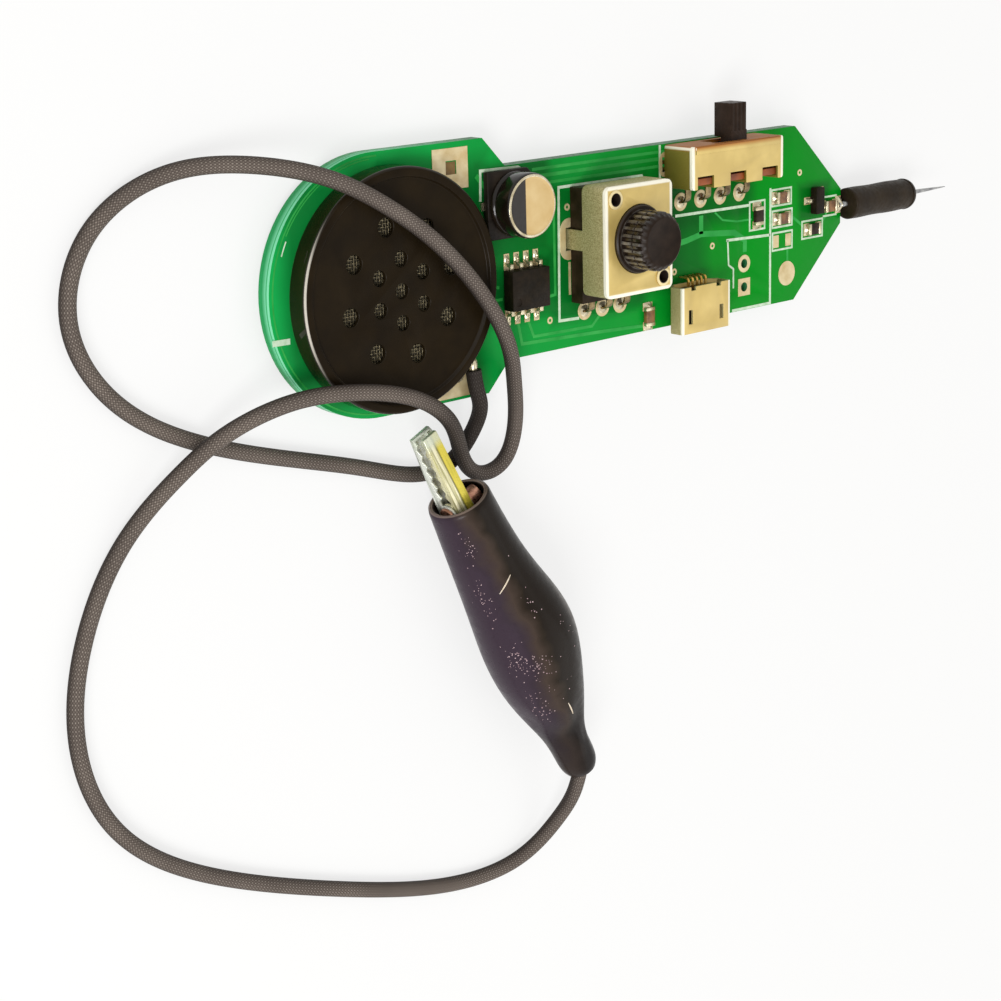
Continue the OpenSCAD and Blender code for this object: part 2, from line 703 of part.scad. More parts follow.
// Five contact strips under the tongue with tails at the back
module usb_contacts() {
    leaf = 0.15;
    y0 = -usb_d / 2 + 0.8;
    tail_y = usb_d / 2 + 0.3;
    color("gold") for (i = [-2 : 2]) on_board([usb_x + i * 0.65, usb_y + y0, land_t + 1.16 + leaf])
        rotate([0, 0, 90]) bent_strip(tail_y - y0, 0.3, 1.16 - 0.3, 0.25, leaf);
}

// Aluminium can: crimp groove low down and a rolled shoulder at the top
module can_body() {
    r = can_d / 2;
    z0 = 0.85;
    color("lightgray") on_board([can_xy[0], can_xy[1], z0]) rotate_extrude() polygon([
        [0, 0], [r - 0.1, 0], [r, 0.1], [r, 0.35], [r - 0.25, 0.55], [r - 0.25, 0.7], [r, 0.9],
        [r, can_h - z0 - 0.35], [r - 0.1, can_h - z0 - 0.1], [r - 0.35, can_h - z0], [0, can_h - z0]
    ]);
}

// Square foot with two bevelled corners and a low collar
module can_foot() {
    side = can_d + 0.3;
    corner = 1.4;
    color([0.12, 0.1, 0.09]) on_board([can_xy[0], can_xy[1], land_t + 0.15]) linear_extrude(0.65) polygon([
        [-side / 2, side / 2], [side / 2 - corner, side / 2], [side / 2, side / 2 - corner],
        [side / 2, corner - side / 2], [side / 2 - corner, -side / 2], [-side / 2, -side / 2]
    ]);
}

module can_tabs() {
    color("silver") on_board([can_xy[0], can_xy[1], 0]) for (s = [-1, 1])
        translate([s * (can_d / 2 - 0.7), 0, 0]) block([2.2, 0.8, land_t + 0.15]);
}

module amp_body() {
    lift = 0.12;
    color([0.1, 0.1, 0.1]) on_board([amp_xy[0], amp_xy[1], land_t + lift]) difference() {
        block([amp_l, amp_w, amp_h - lift - land_t]);
        translate([-amp_l / 2 + 0.8, -amp_w / 2 + 0.8, amp_h - lift - land_t - 0.1])
            cylinder(r = 0.35, h = cut);
    }
}

module amp_leads() {
    color("silver") for (i = [0 : 3], s = [-1, 1])
        on_board([amp_xy[0] + (i - 1.5) * 1.27, amp_xy[1] + s * amp_w / 2, land_t])
            rotate([0, 0, s * 90]) gull_lead(1.1, 0.6, 0.42, 0.2);
}

function transistor_feet() = [for (p = [[-1.1, 0], [1.1, 0.95], [1.1, -0.95]]) transistor_xy + p];

module transistor_body() {
    color([0.1, 0.1, 0.1]) on_board([transistor_xy[0], transistor_xy[1], land_t + 0.08])
        block([1.3, 2.9, 0.95]);
}

module transistor_leads() {
    color("silver") for (p = transistor_feet()) {
        side = sign(p[0] - transistor_xy[0]);
        on_board([transistor_xy[0] + side * 0.65, p[1], land_t]) rotate([0, 0, side > 0 ? 0 : 180])
            gull_lead(0.6, 0.35, 0.42, 0.12);
    }
}

module chip_bodies(list) {
    for (c = list) on_board([c[0], c[1], land_t]) rotate([0, 0, c[2]])
        block([chip_l - 2 * chip_end, chip_w - 0.06, chip_h - 0.03]);
}

module resistor_chips() {
    color([0.15, 0.13, 0.12]) chip_bodies(resistors);
}

module capacitor_chips() {
    color([0.45, 0.3, 0.18]) chip_bodies(capacitors);
}

module chip_ends() {
    color("silver") for (c = chips, s = [-1, 1])
        on_board([c[0], c[1], land_t]) rotate([0, 0, c[2]]) translate([s * (chip_l - chip_end) / 2, 0, 0])
            block([chip_end, chip_w, chip_h]);
}

// Solder cones round the pins under the board, and solder round the four lugs
module solder_joints() {
    cone_h = stand_h - 0.3;
    color("silver") on_board([0, 0, -board_t]) {
        for (p = round_pins) translate([p[0], p[1], -cone_h]) difference() {
            cylinder(r1 = pin_r + 0.15, r2 = 1, h = cone_h);
            translate([0, 0, -cut]) cylinder(r = pin_r, h = cone_h + 2 * cut);
        }
        for (p = pot_lugs_xy) lug_solder(p, pot_lug_w);
        for (p = switch_lugs_xy) lug_solder(p, switch_lug_w);
    }
}

module lug_solder(at, lug) {
    translate([at[0], at[1], -0.35]) difference() {
        block([1.6, lug + 1, 0.35]);
        translate([0, 0, -cut]) block([sheet_t, lug, 3 * cut]);
    }
}

// A low round bead of solder that stands on the board
module solder_bead(r, h) {
    arc = [for (i = [0 : 8]) [r * cos(i * 11.25), land_t + h * sin(i * 11.25)]];
    rotate_extrude() polygon(concat([[0, land_t]], arc));
}

// Solder that holds the lead's tinned strands on the lower earth pad
module lead_joint() {
    bead_r = 0.75;
    strand_z = lead_route[0][2] - top_z;
    color("silver") on_board([lead_pad_xy[0], lead_pad_xy[1], 0]) {
        translate([0, bead_r, 0]) solder_bead(bead_r, 1.3);
        translate([0, 0, strand_z]) rotate([-90, 0, 0]) cylinder(r = 0.4, h = bead_r);
    }
}

module probe_joint() {
    color("silver") on_board([probe_joint_x, probe_y, 0]) difference() {
        translate([0, 0, land_t]) block([0.7, 1.5, 2.6 * needle_r]);
        translate([-2 * cut, 0, probe_z]) rotate([0, 90, 0]) cylinder(r = needle_r, h = 4 * cut);
    }
}

// Rubber sleeve with a rounded front end, bored for the needle
module probe_sleeve() {
    nose = 0.7;
    color([0.15, 0.13, 0.1]) on_board([tip_x + 0.4, probe_y, probe_z]) rotate([0, 90, 0]) difference() {
        union() {
            cylinder(r = sleeve_r, h = sleeve_l - nose);
            translate([0, 0, sleeve_l - nose]) rotate_extrude() intersection() {
                union() {
                    translate([sleeve_r - nose, 0]) circle(nose);
                    square([sleeve_r - nose, nose]);
                }
                square([sleeve_r, nose]);
            }
        }
        translate([0, 0, -cut]) cylinder(r = needle_r, h = sleeve_l + 2 * cut);
    }
}

// Steel needle: a straight shank and a long taper
module probe_needle() {
    start_x = probe_joint_x - 0.3;
    shank = tip_x + sleeve_l * 0.8 - start_x;
    total = needle_x - start_x;
    color("lightgray") on_board([start_x, probe_y, probe_z]) rotate([0, 90, 0]) {
        cylinder(r = needle_r, h = shank);
        translate([0, 0, shank]) cylinder(r1 = needle_r, r2 = 0.04, h = total - shank);
    }
}

// Cubic B-spline through the neighbourhood of four route points
function blend(a, b, c, d, t) = (pow(1 - t, 3) * a + (3 * pow(t, 3) - 6 * t * t + 4) * b
    + (-3 * pow(t, 3) + 3 * t * t + 3 * t + 1) * c + pow(t, 3) * d) / 6;

function padded(p) = concat([2 * p[0] - p[1]], p, [2 * p[len(p) - 1] - p[len(p) - 2]]);

function smooth(p, steps) = let (q = padded(p)) concat([
    for (i = [1 : len(q) - 3], k = [0 : steps - 1]) blend(q[i - 1], q[i], q[i + 1], q[i + 2], k / steps)
], [p[len(p) - 1]]);

function unit(v) = v / norm(v);

// One ring of a tube: a regular polygon square to the path, with one corner axis kept level
function tube_ring(at, along, r, n) =
    let (u = unit(cross([0, 0, 1], along)), v = unit(cross(along, u)))
    [for (i = [0 : n - 1]) at + r * (cos((i + 0.5) * 360 / n) * u + sin((i + 0.5) * 360 / n) * v)];

function heading(p, i) = unit(p[min(i + 1, len(p) - 1)] - p[max(i - 1, 0)]);

// A closed tube along a path, with a flat end square to each given direction
module tube(path, r, n, start, end) {
    last = len(path) - 1;
    along = [for (i = [0 : last]) i == 0 ? start : i == last ? end : heading(path, i)];
    rings = [for (i = [0 : last]) tube_ring(path[i], along[i], r, n)];
    points = [for (ring = rings, p = ring) p];
    sides = [
        for (i = [0 : last - 1], k = [0 : n - 1])
            each [
                [i * n + k, (i + 1) * n + k, i * n + (k + 1) % n],
                [(i + 1) * n + k, (i + 1) * n + (k + 1) % n, i * n + (k + 1) % n]
            ]
    ];
    caps = [[for (k = [0 : n - 1]) k], [for (k = [n - 1 : -1 : 0]) last * n + k]];
    polyhedron(points, concat(sides, caps), convexity = 8);
}

module lead() {
    tail = on_circle(1, clip_turn);
    color([0.35, 0.32, 0.3]) translate([-mid_x, -mid_y, 0])
        tube(smooth(lead_route, lead_steps), lead_r, lead_sides, [0, -1, 0], [tail[0], tail[1], 0]);
}

// The lead's end inside the boot: insulation, then bare strands in the crimp
module lead_end() {
    color([0.35, 0.32, 0.3]) on_clip() rotate([0, -90, 0]) {
        translate([0, 0, boot_l - 8]) cylinder(r = lead_r - fit_gap, h = 8);
        translate([0, 0, boot_l - 12]) cylinder(r = 0.4, h = 4);
    }
}

// The boot's outer radius at places along it, from the mouth to the tail
function boot_profile() = [
    [0, boot_mouth_r], [4, boot_mouth_r + 0.25], [10, boot_mouth_r + 0.75], [15.5, boot_belly_r - 0.2],
    [19, boot_belly_r], [23, boot_belly_r - 0.4], [27, boot_belly_r - 1.35], [30, boot_tail_r + 0.45],
    [32.5, boot_tail_r + 0.05], [boot_l - 0.9, boot_tail_r], [boot_l, boot_tail_r - 0.5]
];

// Soft boot over the clip's handles, turned about the clip's axis
module clip_boot() {
    outer = [for (p = smooth(boot_profile(), 3)) [p[1], p[0]]];
    inner = [for (p = outer) if (p[1] < boot_l - 6) [p[0] - boot_wall, p[1]]];
    bore = lead_r + 0.02;
    far = inner[len(inner) - 1];
    color([0.2, 0.16, 0.2]) on_clip() rotate([0, -90, 0]) difference() {
        rotate_extrude() polygon(concat([[0, 0]], outer, [[0, boot_l]]));
        rotate_extrude() polygon(concat(
            [[0, -cut], [inner[0][0], -cut]], inner, [[bore, far[1] + 1], [0, far[1] + 1]]
        ));
        translate([0, 0, far[1]]) cylinder(r = bore, h = boot_l);
    }
}

// Places a jaw or its pin beside the clip's axis
module beside_axis() {
    on_clip() translate([0, jaw_side_y, 0]) children();
}

// Tooth tips along a jaw's edge, from the tip back to the ear
function teeth(z, depth) = [
    for (i = [0 : 2 * jaw_teeth])
        [jaw_out - 0.6 - i * (jaw_out - 1.6) / (2 * jaw_teeth), i % 2 == 0 ? z : z - depth]
];

// The lower jaw seen from the side; the upper jaw is the same turned over, with its own handle
module jaw_side(handle) {
    polygon(concat(
        [[jaw_out, -0.5]], teeth(-0.08, 0.45), [[0.6, -0.6], [-3, -0.9]],
        [for (i = [len(handle) - 1 : -1 : 0]) handle[i] + [0, handle_side]], handle,
        [[0, -jaw_root], [jaw_out, -jaw_nose]]
    ));
    translate([pivot_x, 0]) circle(pivot_r + 0.55);
}

// The space inside the folded channel, which leaves the floor and the nose
module jaw_hollow(handle) {
    polygon(concat(
        [[jaw_out - jaw_t, 2], [-boot_l, 2], [-boot_l, handle[0][1] + jaw_t]],
        [for (p = handle) p + [0, jaw_t]], [[0, jaw_t - jaw_root], [jaw_out - jaw_t, jaw_t - jaw_nose]]
    ));
}

module jaw(handle, width, bore) {
    difference() {
        across(width) jaw_side(handle);
        across(width - 2 * jaw_t) jaw_hollow(handle);
        translate([pivot_x, 0, 0]) rotate([90, 0, 0]) cylinder(r = bore, h = 3 * width, center = true);
    }
}

function lower_handle() = [[-20, -3.3], [-15, -3.2], [-8, -2.2]];
function upper_handle() = [[-13, -3.1], [-9, -2.6], [-5, -2]];

// Lower jaw with the barrel that grips the lead's strands
module clip_lower_jaw() {
    barrel_x = 12 - boot_l;
    arm = lower_handle()[0];
    color("silver") {
        beside_axis() jaw(lower_handle(), jaw_w, pivot_r);
        on_clip() difference() {
            union() {
                across(1.6) polygon([
                    arm, arm + [0, jaw_t], [barrel_x + 2, -0.5], [barrel_x - 1, -0.5],
                    [barrel_x - 1, -0.9], [barrel_x + 1.6, -0.9]
                ]);
                translate([barrel_x + 2, 0, 0]) rotate([0, -90, 0]) cylinder(r = 0.8, h = 3);
            }
            translate([barrel_x + 3, 0, 0]) rotate([0, -90, 0]) cylinder(r = 0.4, h = 5);
        }
    }
}

module clip_upper_jaw() {
    color([0.8, 0.7, 0.35]) beside_axis() mirror([0, 0, 1])
        jaw(upper_handle(), jaw_w - 2 * jaw_t - 2 * run_gap, pivot_r + run_gap);
}

module clip_pivot() {
    head_r = pivot_r + 0.35;
    color([0.75, 0.55, 0.45]) beside_axis() translate([pivot_x, 0, 0]) rotate([90, 0, 0]) {
        cylinder(r = pivot_r, h = jaw_w, center = true);
        translate([0, 0, -jaw_w / 2 - 0.3]) cylinder(r = head_r, h = 0.3);
        translate([0, 0, jaw_w / 2]) cylinder(r = head_r, h = pivot_bush);
    }
}

// Torsion spring: close turns round the pin and the arm that lies on the lower handle
module clip_spring() {
    wire = 0.25;
    turns = 3;
    inner_w = jaw_w - 4 * jaw_t - 4 * run_gap;
    mean_r = pivot_r + run_gap + wire / 2;
    arm = 5;
    color("gray") beside_axis() translate([pivot_x, 0, 0]) {
        for (i = [0 : turns - 1]) translate([0, (i - (turns - 1) / 2) * wire, 0]) rotate([90, 0, 0])
            rotate_extrude() translate([mean_r, 0]) square(wire, center = true);
        translate([-arm, inner_w / 2 - wire, -mean_r - wire / 2]) cube([arm, wire, wire]);
    }
}

board();
lands();
speaker_case();
speaker_mesh();
speaker_cone();
speaker_coil();
speaker_magnet();
speaker_yoke();
speaker_base();
speaker_pins();
pot_cover();
pot_base();
pot_track();
pot_shaft();
pot_wiper();
pot_pins();
pot_rivets();
switch_shell();
switch_base();
switch_slider();
switch_wiper();
switch_pins();
usb_shell();
usb_insert();
usb_contacts();
can_body();
can_foot();
can_tabs();
amp_body();
amp_leads();
transistor_body();
transistor_leads();
resistor_chips();
capacitor_chips();
chip_ends();
solder_joints();
lead_joint();
probe_joint();
probe_sleeve();
probe_needle();
lead();
lead_end();
clip_boot();
clip_lower_jaw();
clip_upper_jaw();
clip_pivot();
clip_spring();
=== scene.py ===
"""Looks for an audio signal detector: a bare board with a speaker, a level control, a slide switch,
a probe needle, and a braided earth lead that ends in a spring clip with a soft boot.

Places on the board are millimetres from the centre of its round end: x towards the probe, y across,
z up from the top face. The lead and the clip are measured from the same centre, with z from the table.
"""

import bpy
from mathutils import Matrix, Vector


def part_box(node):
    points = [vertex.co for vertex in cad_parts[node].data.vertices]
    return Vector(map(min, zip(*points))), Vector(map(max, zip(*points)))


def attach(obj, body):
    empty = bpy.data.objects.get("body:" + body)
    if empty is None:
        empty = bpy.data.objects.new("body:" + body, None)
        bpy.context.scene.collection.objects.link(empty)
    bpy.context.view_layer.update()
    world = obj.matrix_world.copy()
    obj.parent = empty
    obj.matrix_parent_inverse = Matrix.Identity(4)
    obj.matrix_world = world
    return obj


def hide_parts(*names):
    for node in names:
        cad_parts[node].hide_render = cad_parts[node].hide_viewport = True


bl_info = {
    "name": "Audio signal detector",
    "version": (1, 0, 0),
    "blender": (4, 5, 0),
    "location": "View3D > Sidebar > Detector",
    "description": "Dresses the signal detector's frame: board, speaker, controls, probe, lead and clip",
    "category": "Add Mesh",
}

import math

import bmesh
import bpy
import numpy as np
from bpy.props import FloatProperty, FloatVectorProperty, IntProperty, PointerProperty
from mathutils import Matrix, Vector

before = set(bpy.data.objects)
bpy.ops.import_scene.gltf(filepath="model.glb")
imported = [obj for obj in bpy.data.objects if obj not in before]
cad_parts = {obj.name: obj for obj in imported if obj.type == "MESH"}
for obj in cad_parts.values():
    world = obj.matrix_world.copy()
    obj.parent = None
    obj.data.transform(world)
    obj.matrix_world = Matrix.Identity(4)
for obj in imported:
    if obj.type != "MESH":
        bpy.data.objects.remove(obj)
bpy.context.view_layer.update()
MM = 0.001

# The board's own origin and radius, read from the frame
BOARD_LOW, BOARD_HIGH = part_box("board")
HEAD_R = (BOARD_HIGH.y - BOARD_LOW.y) / 2 / MM
ORIGIN = np.array([BOARD_LOW.x + HEAD_R * MM, (BOARD_LOW.y + BOARD_HIGH.y) / 2, BOARD_HIGH.z])
# How far a tinned land stands above the mask
LAND_T = 0.05

# The clip's frame: its mouth, its height above the table and its turn
CLIP_XY = np.array([6.9, -21.25])
CLIP_Z = 4.9
CLIP_TURN = math.radians(115.8)
BOOT_L = 36.1
JAW_TIP = 8.0
JAW_MIDDLE = 0.5
BOOT_TAIL = CLIP_XY - BOOT_L * np.array([math.cos(CLIP_TURN), math.sin(CLIP_TURN)])
# The way round the boot that faces the camera
BOOT_FRONT = math.radians(57.8)

# The lead's route from its pad to the boot's tail; LOW is its height where it lies on the table
LEAD_D = 1.55
LOW = LEAD_D / 2
LEAD_ROUTE = [
    (10.5, -9.5, 3.6), (10.7, -11.5, 3.7), (11.6, -13.2, 3.5), (12.2, -15.8, 1.7),
    (9.7, -19.6, LOW), (4.6, -19.6, LOW), (-1.5, -17.3, LOW), (-9, -15.2, LOW),
    (-19, -12.2, LOW), (-28, -7.5, LOW), (-33, 0.6, LOW), (-30, 9, LOW),
    (-22.2, 12.9, 1.1), (-15.5, 13.1, 3), (-8.2, 11.6, 5.4), (-3, 9, 6.1),
    (4, 4.6, 5.95), (9.6, -1, 6), (13.1, -6.8, 6.3), (15.9, -11.4, 3.4),
    (17.3, -15.9, 2.2), (16, -20.3, 2), (11.8, -20.9, 1.9), (8.9, -17.9, 3),
    (6.4, -13.3, 5.6), (0.6, -9.6, 6.6), (-7, -8.2, 6.1), (-13, -8.2, 5.4),
    (-18.5, -10.4, 3.4), (-22.5, -13.2, 2.6), (-28.4, -18.6, LOW), (-33, -26.5, LOW),
    (-35, -35.8, LOW), (-32, -45.8, LOW), (-22.5, -53, LOW), (-6.4, -59.5, LOW),
    (7, -64, LOW), (17.4, -64.5, LOW), (22, -60.3, 2),
    (BOOT_TAIL[0] - 0.4, BOOT_TAIL[1] - 3, CLIP_Z - 0.5), (BOOT_TAIL[0], BOOT_TAIL[1], CLIP_Z),
]

# Places of the parts on the board; a chip has x, y and its turn
SPEAKER_XY = (1.3, -0.4)
CAN_XY = (16.4, 5.9)
AMP_XY = (17.9, -2.55)
POT_XY = (28.9, 1.4)
TRANSISTOR_XY = (61.5, 1.15)
PROBE_Y = 0.2
CHIPS = [(52.2, 0.5, 90), (61.3, -2, 0), (56, 2.05, 0), (56.2, -0.25, 0), (35.4, -8, 90), (64.1, 0.2, 0)]
EARTH_PAD_X = 9.2
SWITCH_PINS_XY = (44.9, 3.3)
RIVETS = [(POT_XY[0] - 3.3, POT_XY[1] + 4.2), (POT_XY[0] + 3.3, POT_XY[1] - 4.2)]
KNURL_R = 2.95

# The camera that was fitted to the photograph, in millimetres
CAMERA_AT = Vector((-162.03, 35.36, 161.93))
CAMERA_AHEAD = Vector((0.6369, -0.2689, -0.7225))
CAMERA_UP = Vector((0.1977, 0.9628, -0.184))


def on_board(points):
    """Board millimetres as row-frame metres: scaled, then moved to the board's origin."""
    return np.asarray(points, float) * MM + ORIGIN


def on_table(points):
    """The same for places whose height is measured from the table."""
    return np.asarray(points, float) * MM + [ORIGIN[0], ORIGIN[1], 0]


def on_clip(points):
    """Clip millimetres, x towards the jaw tips, turned about z and moved to the boot's mouth."""
    points = np.asarray(points, float)
    x = points[..., 0] * math.cos(CLIP_TURN) - points[..., 1] * math.sin(CLIP_TURN)
    y = points[..., 0] * math.sin(CLIP_TURN) + points[..., 1] * math.cos(CLIP_TURN)
    return on_table(np.stack([x + CLIP_XY[0], y + CLIP_XY[1], points[..., 2] + CLIP_Z], -1))


def board_box(node):
    """A CAD node's low and high corners in board millimetres."""
    return [(np.array(corner) - ORIGIN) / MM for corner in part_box(node)]


def on_clip_direction(y, z):
    """Directions square to the clip's axis, given by their y and z in the clip's frame."""
    return np.stack([-y * math.sin(CLIP_TURN), y * math.cos(CLIP_TURN), z], -1)


def linear(screen):
    """A screen colour such as "#1ab656" as linear red, green and blue."""
    parts = [int(screen[i:i + 2], 16) / 255 for i in (1, 3, 5)]
    return tuple(c / 12.92 if c <= 0.04045 else ((c + 0.055) / 1.055) ** 2.4 for c in parts)


def colour_of(value):
    """A colour property or a screen colour, with alpha."""
    return (*(linear(value) if isinstance(value, str) else value), 1.0)


def colour_property(label, text, screen):
    """A colour field with a name, a description and a default."""
    return FloatVectorProperty(
        name=label, description=text, subtype="COLOR", size=3, min=0, max=1, default=linear(screen))


def length_property(label, text, millimetres):
    """A length field whose default is given in millimetres."""
    return number_property(label, text, millimetres * MM, unit="LENGTH")


def number_property(label, text, default, low=0, **more):
    """A number field with a name, a description, a default and a lowest value."""
    return FloatProperty(name=label, description=text, default=default, min=low, **more)


class StageSettings(bpy.types.PropertyGroup):
    """Floor, lamps and camera."""
    floor: colour_property("Floor", "Colour of the floor", "#f6f6f4")
    white: number_property("Floor white", "How much of the floor's look is plain white", 0.72, max=1,
                           subtype="FACTOR")
    world: number_property("Sky", "Strength of the light from all round", 0.62)
    key: number_property("Key lamp", "Power of the lamp beyond the board's round end", 1.75, unit="POWER")
    fill: number_property("Fill lamp", "Power of the lamp beyond the probe", 0.55, unit="POWER")
    lens: number_property("Lens", "Focal length of the camera in millimetres", 79.7, low=10)


class LeadSettings(bpy.types.PropertyGroup):
    """The braided earth lead."""
    diameter: length_property("Diameter", "Diameter of the lead", LEAD_D)
    length: length_property("Length", "Length of the lead from its pad to the boot", 281.1)
    thread: colour_property("Thread", "Colour of the braid's threads", "#7d7269")
    # gap: colour of the painted shade between the threads
    gap: colour_property("Gap", "Colour between the threads", "#4a423d")
    sides: IntProperty(name="Sides", description="Faces round the lead", default=28, min=8)


class BootSettings(bpy.types.PropertyGroup):
    """The soft boot and the clip in it."""
    belly: length_property("Belly", "Largest radius of the boot", 4.9)
    left: colour_property("Left side", "Colour of the boot on its left side", "#382c37")
    right: colour_property("Right side", "Colour of the boot on its right side", "#1b130b")
    speck: colour_property("Specks", "Colour of the specks in the skin", "#dcc2c4")
    jaw_white: colour_property("Jaw plating", "Colour of the lower jaw's plating", "#e4e6dc")
    jaw_yellow: colour_property("Jaw gilding", "Colour of the upper jaw's plating", "#dccb4c")


class BoardSettings(bpy.types.PropertyGroup):
    """The circuit board and what is printed on it."""
    # bright and deep: one mask colour, with a painted fall-off of light from the round end to the probe's
    # end
    bright: colour_property("Bright mask", "Solder mask at the round end", "#14ad50")
    deep: colour_property("Deep mask", "Solder mask at the probe's end", "#00941e")
    # bare: the dark mask colour, which paints the shade round and under the parts and along the sawn edge
    bare: colour_property("Bare mask", "Solder mask where no copper lies under it", "#08521a")
    # edge: the sawn laminate's pale colour, with painted light on it at the round end
    edge: colour_property("Edge", "Sawn edge of the laminate", "#83dcae")
    track: colour_property("Track", "Solder mask over a copper track", "#3bb552")
    ink: colour_property("Ink", "Printed outlines", "#e2f2dc")
    tin: colour_property("Tinned land", "Lands that the mask leaves open", "#e6d6ab")
    ink_t: length_property("Ink thickness", "Height of the printed lines above the mask", 0.03)


class PartSettings(bpy.types.PropertyGroup):
    """Finishes of the parts on the board."""
    moulding: colour_property("Speaker", "Colour of the speaker case", "#241b0d")
    sheet: colour_property("Sheet", "Face of the folded metal covers", "#dcc174")
    # sheet_side: the sheet's colour in painted shade, for the sides of the covers
    sheet_side: colour_property("Sheet side", "Shaded side of the folded metal covers", "#b4a86c")
    # fold: colour of the painted highlights along the folds and edges of the covers
    fold: colour_property("Fold", "Polished folds of the metal covers", "#fffbe8")
    solder: colour_property("Solder", "Solder and tinned legs", "#ddd2b4")
    plate: colour_property("Insulating plate", "Moulded plate inside the switch", "#a3521f")
    knob: colour_property("Knob", "Knob and shaft", "#2c2119")


class Value:
    """A node's result; sums and products of it are Math nodes."""

    def __init__(self, lay, socket):
        self.lay, self.socket = lay, socket

    def maths(self, operation, *others):
        """A Math node's result."""
        return self.lay.add("ShaderNodeMath", dict(enumerate((self, *others))), operation=operation)[0]

    def __add__(self, other):
        return self.maths("ADD", other)

    def __sub__(self, other):
        return self.maths("SUBTRACT", other)

    def __mul__(self, other):
        return self.maths("MULTIPLY", other)

    def __pow__(self, other):
        return self.maths("POWER", other)

    def __abs__(self):
        return self.maths("ABSOLUTE")

    def most(self, other):
        """The larger of two."""
        return self.maths("MAXIMUM", other)

    def span(self, low, high, out_low=0.0, out_high=1.0):
        """Carried from one range to another, held at the ends."""
        return self.lay.add("ShaderNodeMapRange", {
            "Value": self, "From Min": low, "From Max": high, "To Min": out_low, "To Max": out_high})[0]

    def tint(self, factor, colour):
        """This colour blended towards another by a factor."""
        return self.lay.blend(factor, self, colour)


class Layout:
    """A node tree while it is laid out; given holds a group's inputs or a material's coordinates."""

    def __init__(self, tree):
        self.tree, self.given = tree, {}

    def __getitem__(self, name):
        return self.given[name]

    def add(self, kind, values=None, **options):
        """One node with its options; an input given as a result is linked, any other is set. Its own
        results come by number and by name."""
        node = self.tree.nodes.new(kind)
        for key, value in options.items():
            setattr(node, key, value)
        for key, value in (values or {}).items():
            if isinstance(value, Value):
                self.tree.links.new(value.socket, node.inputs[key])
            else:
                node.inputs[key].default_value = value
        return {key: Value(self, end) for i, end in enumerate(node.outputs) for key in (i, end.name)}

    def blend(self, factor, first, second, kind="MIX"):
        """A mix of two colours by a factor."""
        first, second = (c if isinstance(c, Value) else colour_of(c) for c in (first, second))
        values = {0: factor, 6: first, 7: second}
        return self.add("ShaderNodeMix", values, data_type="RGBA", blend_type=kind)[2]

    def vector(self, operation, *values):
        """A Vector Math node's result."""
        return self.add("ShaderNodeVectorMath", dict(enumerate(values)), operation=operation)[0]

    def axes(self, vector):
        """The three parts of a vector."""
        parts = self.add("ShaderNodeSeparateXYZ", {0: vector})
        return parts[0], parts[1], parts[2]

    def facing(self, axis):
        """How squarely a face looks along an axis, either way."""
        return abs(self.axes(self["Normal"])[axis])

    def noise(self, vector, scale, detail=2.0):
        """A noise texture's value."""
        return self.add("ShaderNodeTexNoise", {"Vector": vector, "Scale": scale, "Detail": detail})[0]

    def relief(self, height, depth):
        """A normal bent by a height; depth is in millimetres."""
        return self.add("ShaderNodeBump", {"Height": height, "Distance": depth * MM, "Strength": 1.0})[0]

    def use(self, group, **values):
        """A group placed here, on Object coordinates unless it is given a vector; an input's name has
        underscores for spaces."""
        values = {"Vector": self["Object"], **values}
        return self.add("ShaderNodeGroup", spaced(values), node_tree=group)

    def millimetres(self, origin):
        """The place on the piece in millimetres from an origin given in metres."""
        return self.vector("MULTIPLY_ADD", self["Object"], (1 / MM,) * 3, tuple(np.asarray(origin) / -MM))

    def on_board(self):
        """The place in board millimetres, as x, y and z."""
        return self.axes(self.millimetres(ORIGIN))

    def on_clip(self):
        """The place in the clip's own millimetres, as a vector."""
        values = {"Vector": self.millimetres(on_clip((0, 0, 0))), "Angle": -CLIP_TURN}
        return self.add("ShaderNodeVectorRotate", values, rotation_type="Z_AXIS")[0]


def spaced(values):
    """The same values with spaces for the underscores in their names."""
    return {key.replace("_", " "): value for key, value in values.items()}


def away(x, y, at=(0, 0)):
    """Distance from a place in a plane."""
    return ((x - at[0]) ** 2.0 + (y - at[1]) ** 2.0).maths("SQRT")


def effect(name, build, vectors=("Vector",), colours=(), **numbers):
    """A shader node group, built once. build(lay) reads its inputs and gives its results by name."""
    tree = bpy.data.node_groups.get(name)
    if tree is None:
        tree = bpy.data.node_groups.new(name, "ShaderNodeTree")
        lay = Layout(tree)
        numbers = spaced(numbers)
        for labels, kind in ((vectors, "Vector"), (colours, "Color"), (numbers, "Float")):
            for label in labels:
                socket = tree.interface.new_socket(label, in_out="INPUT", socket_type="NodeSocket" + kind)
                if label in numbers:
                    socket.default_value = numbers[label]
        lay.given = lay.add("NodeGroupInput")
        results = build(lay)
        for label, value in results.items():
            kind = "Color" if value.socket.type == "RGBA" else "Float"
            tree.interface.new_socket(label, in_out="OUTPUT", socket_type="NodeSocket" + kind)
        lay.add("NodeGroupOutput", results)
    return tree


def grain_effect():
    """Uneven surface: a broad cloud for colour and a fine one with it for height."""
    def build(lay):
        broad = lay.noise(lay["Vector"], lay["Scale"], 3)
        fine = lay.noise(lay["Vector"], lay["Scale"] * 6)
        return {"Cloud": broad.span(0.3, 0.7), "Height": fine * 0.45 + broad * 0.55,
                "Fine": fine.span(0.35, 0.65)}
    return effect("Uneven surface", build, Scale=500.0)


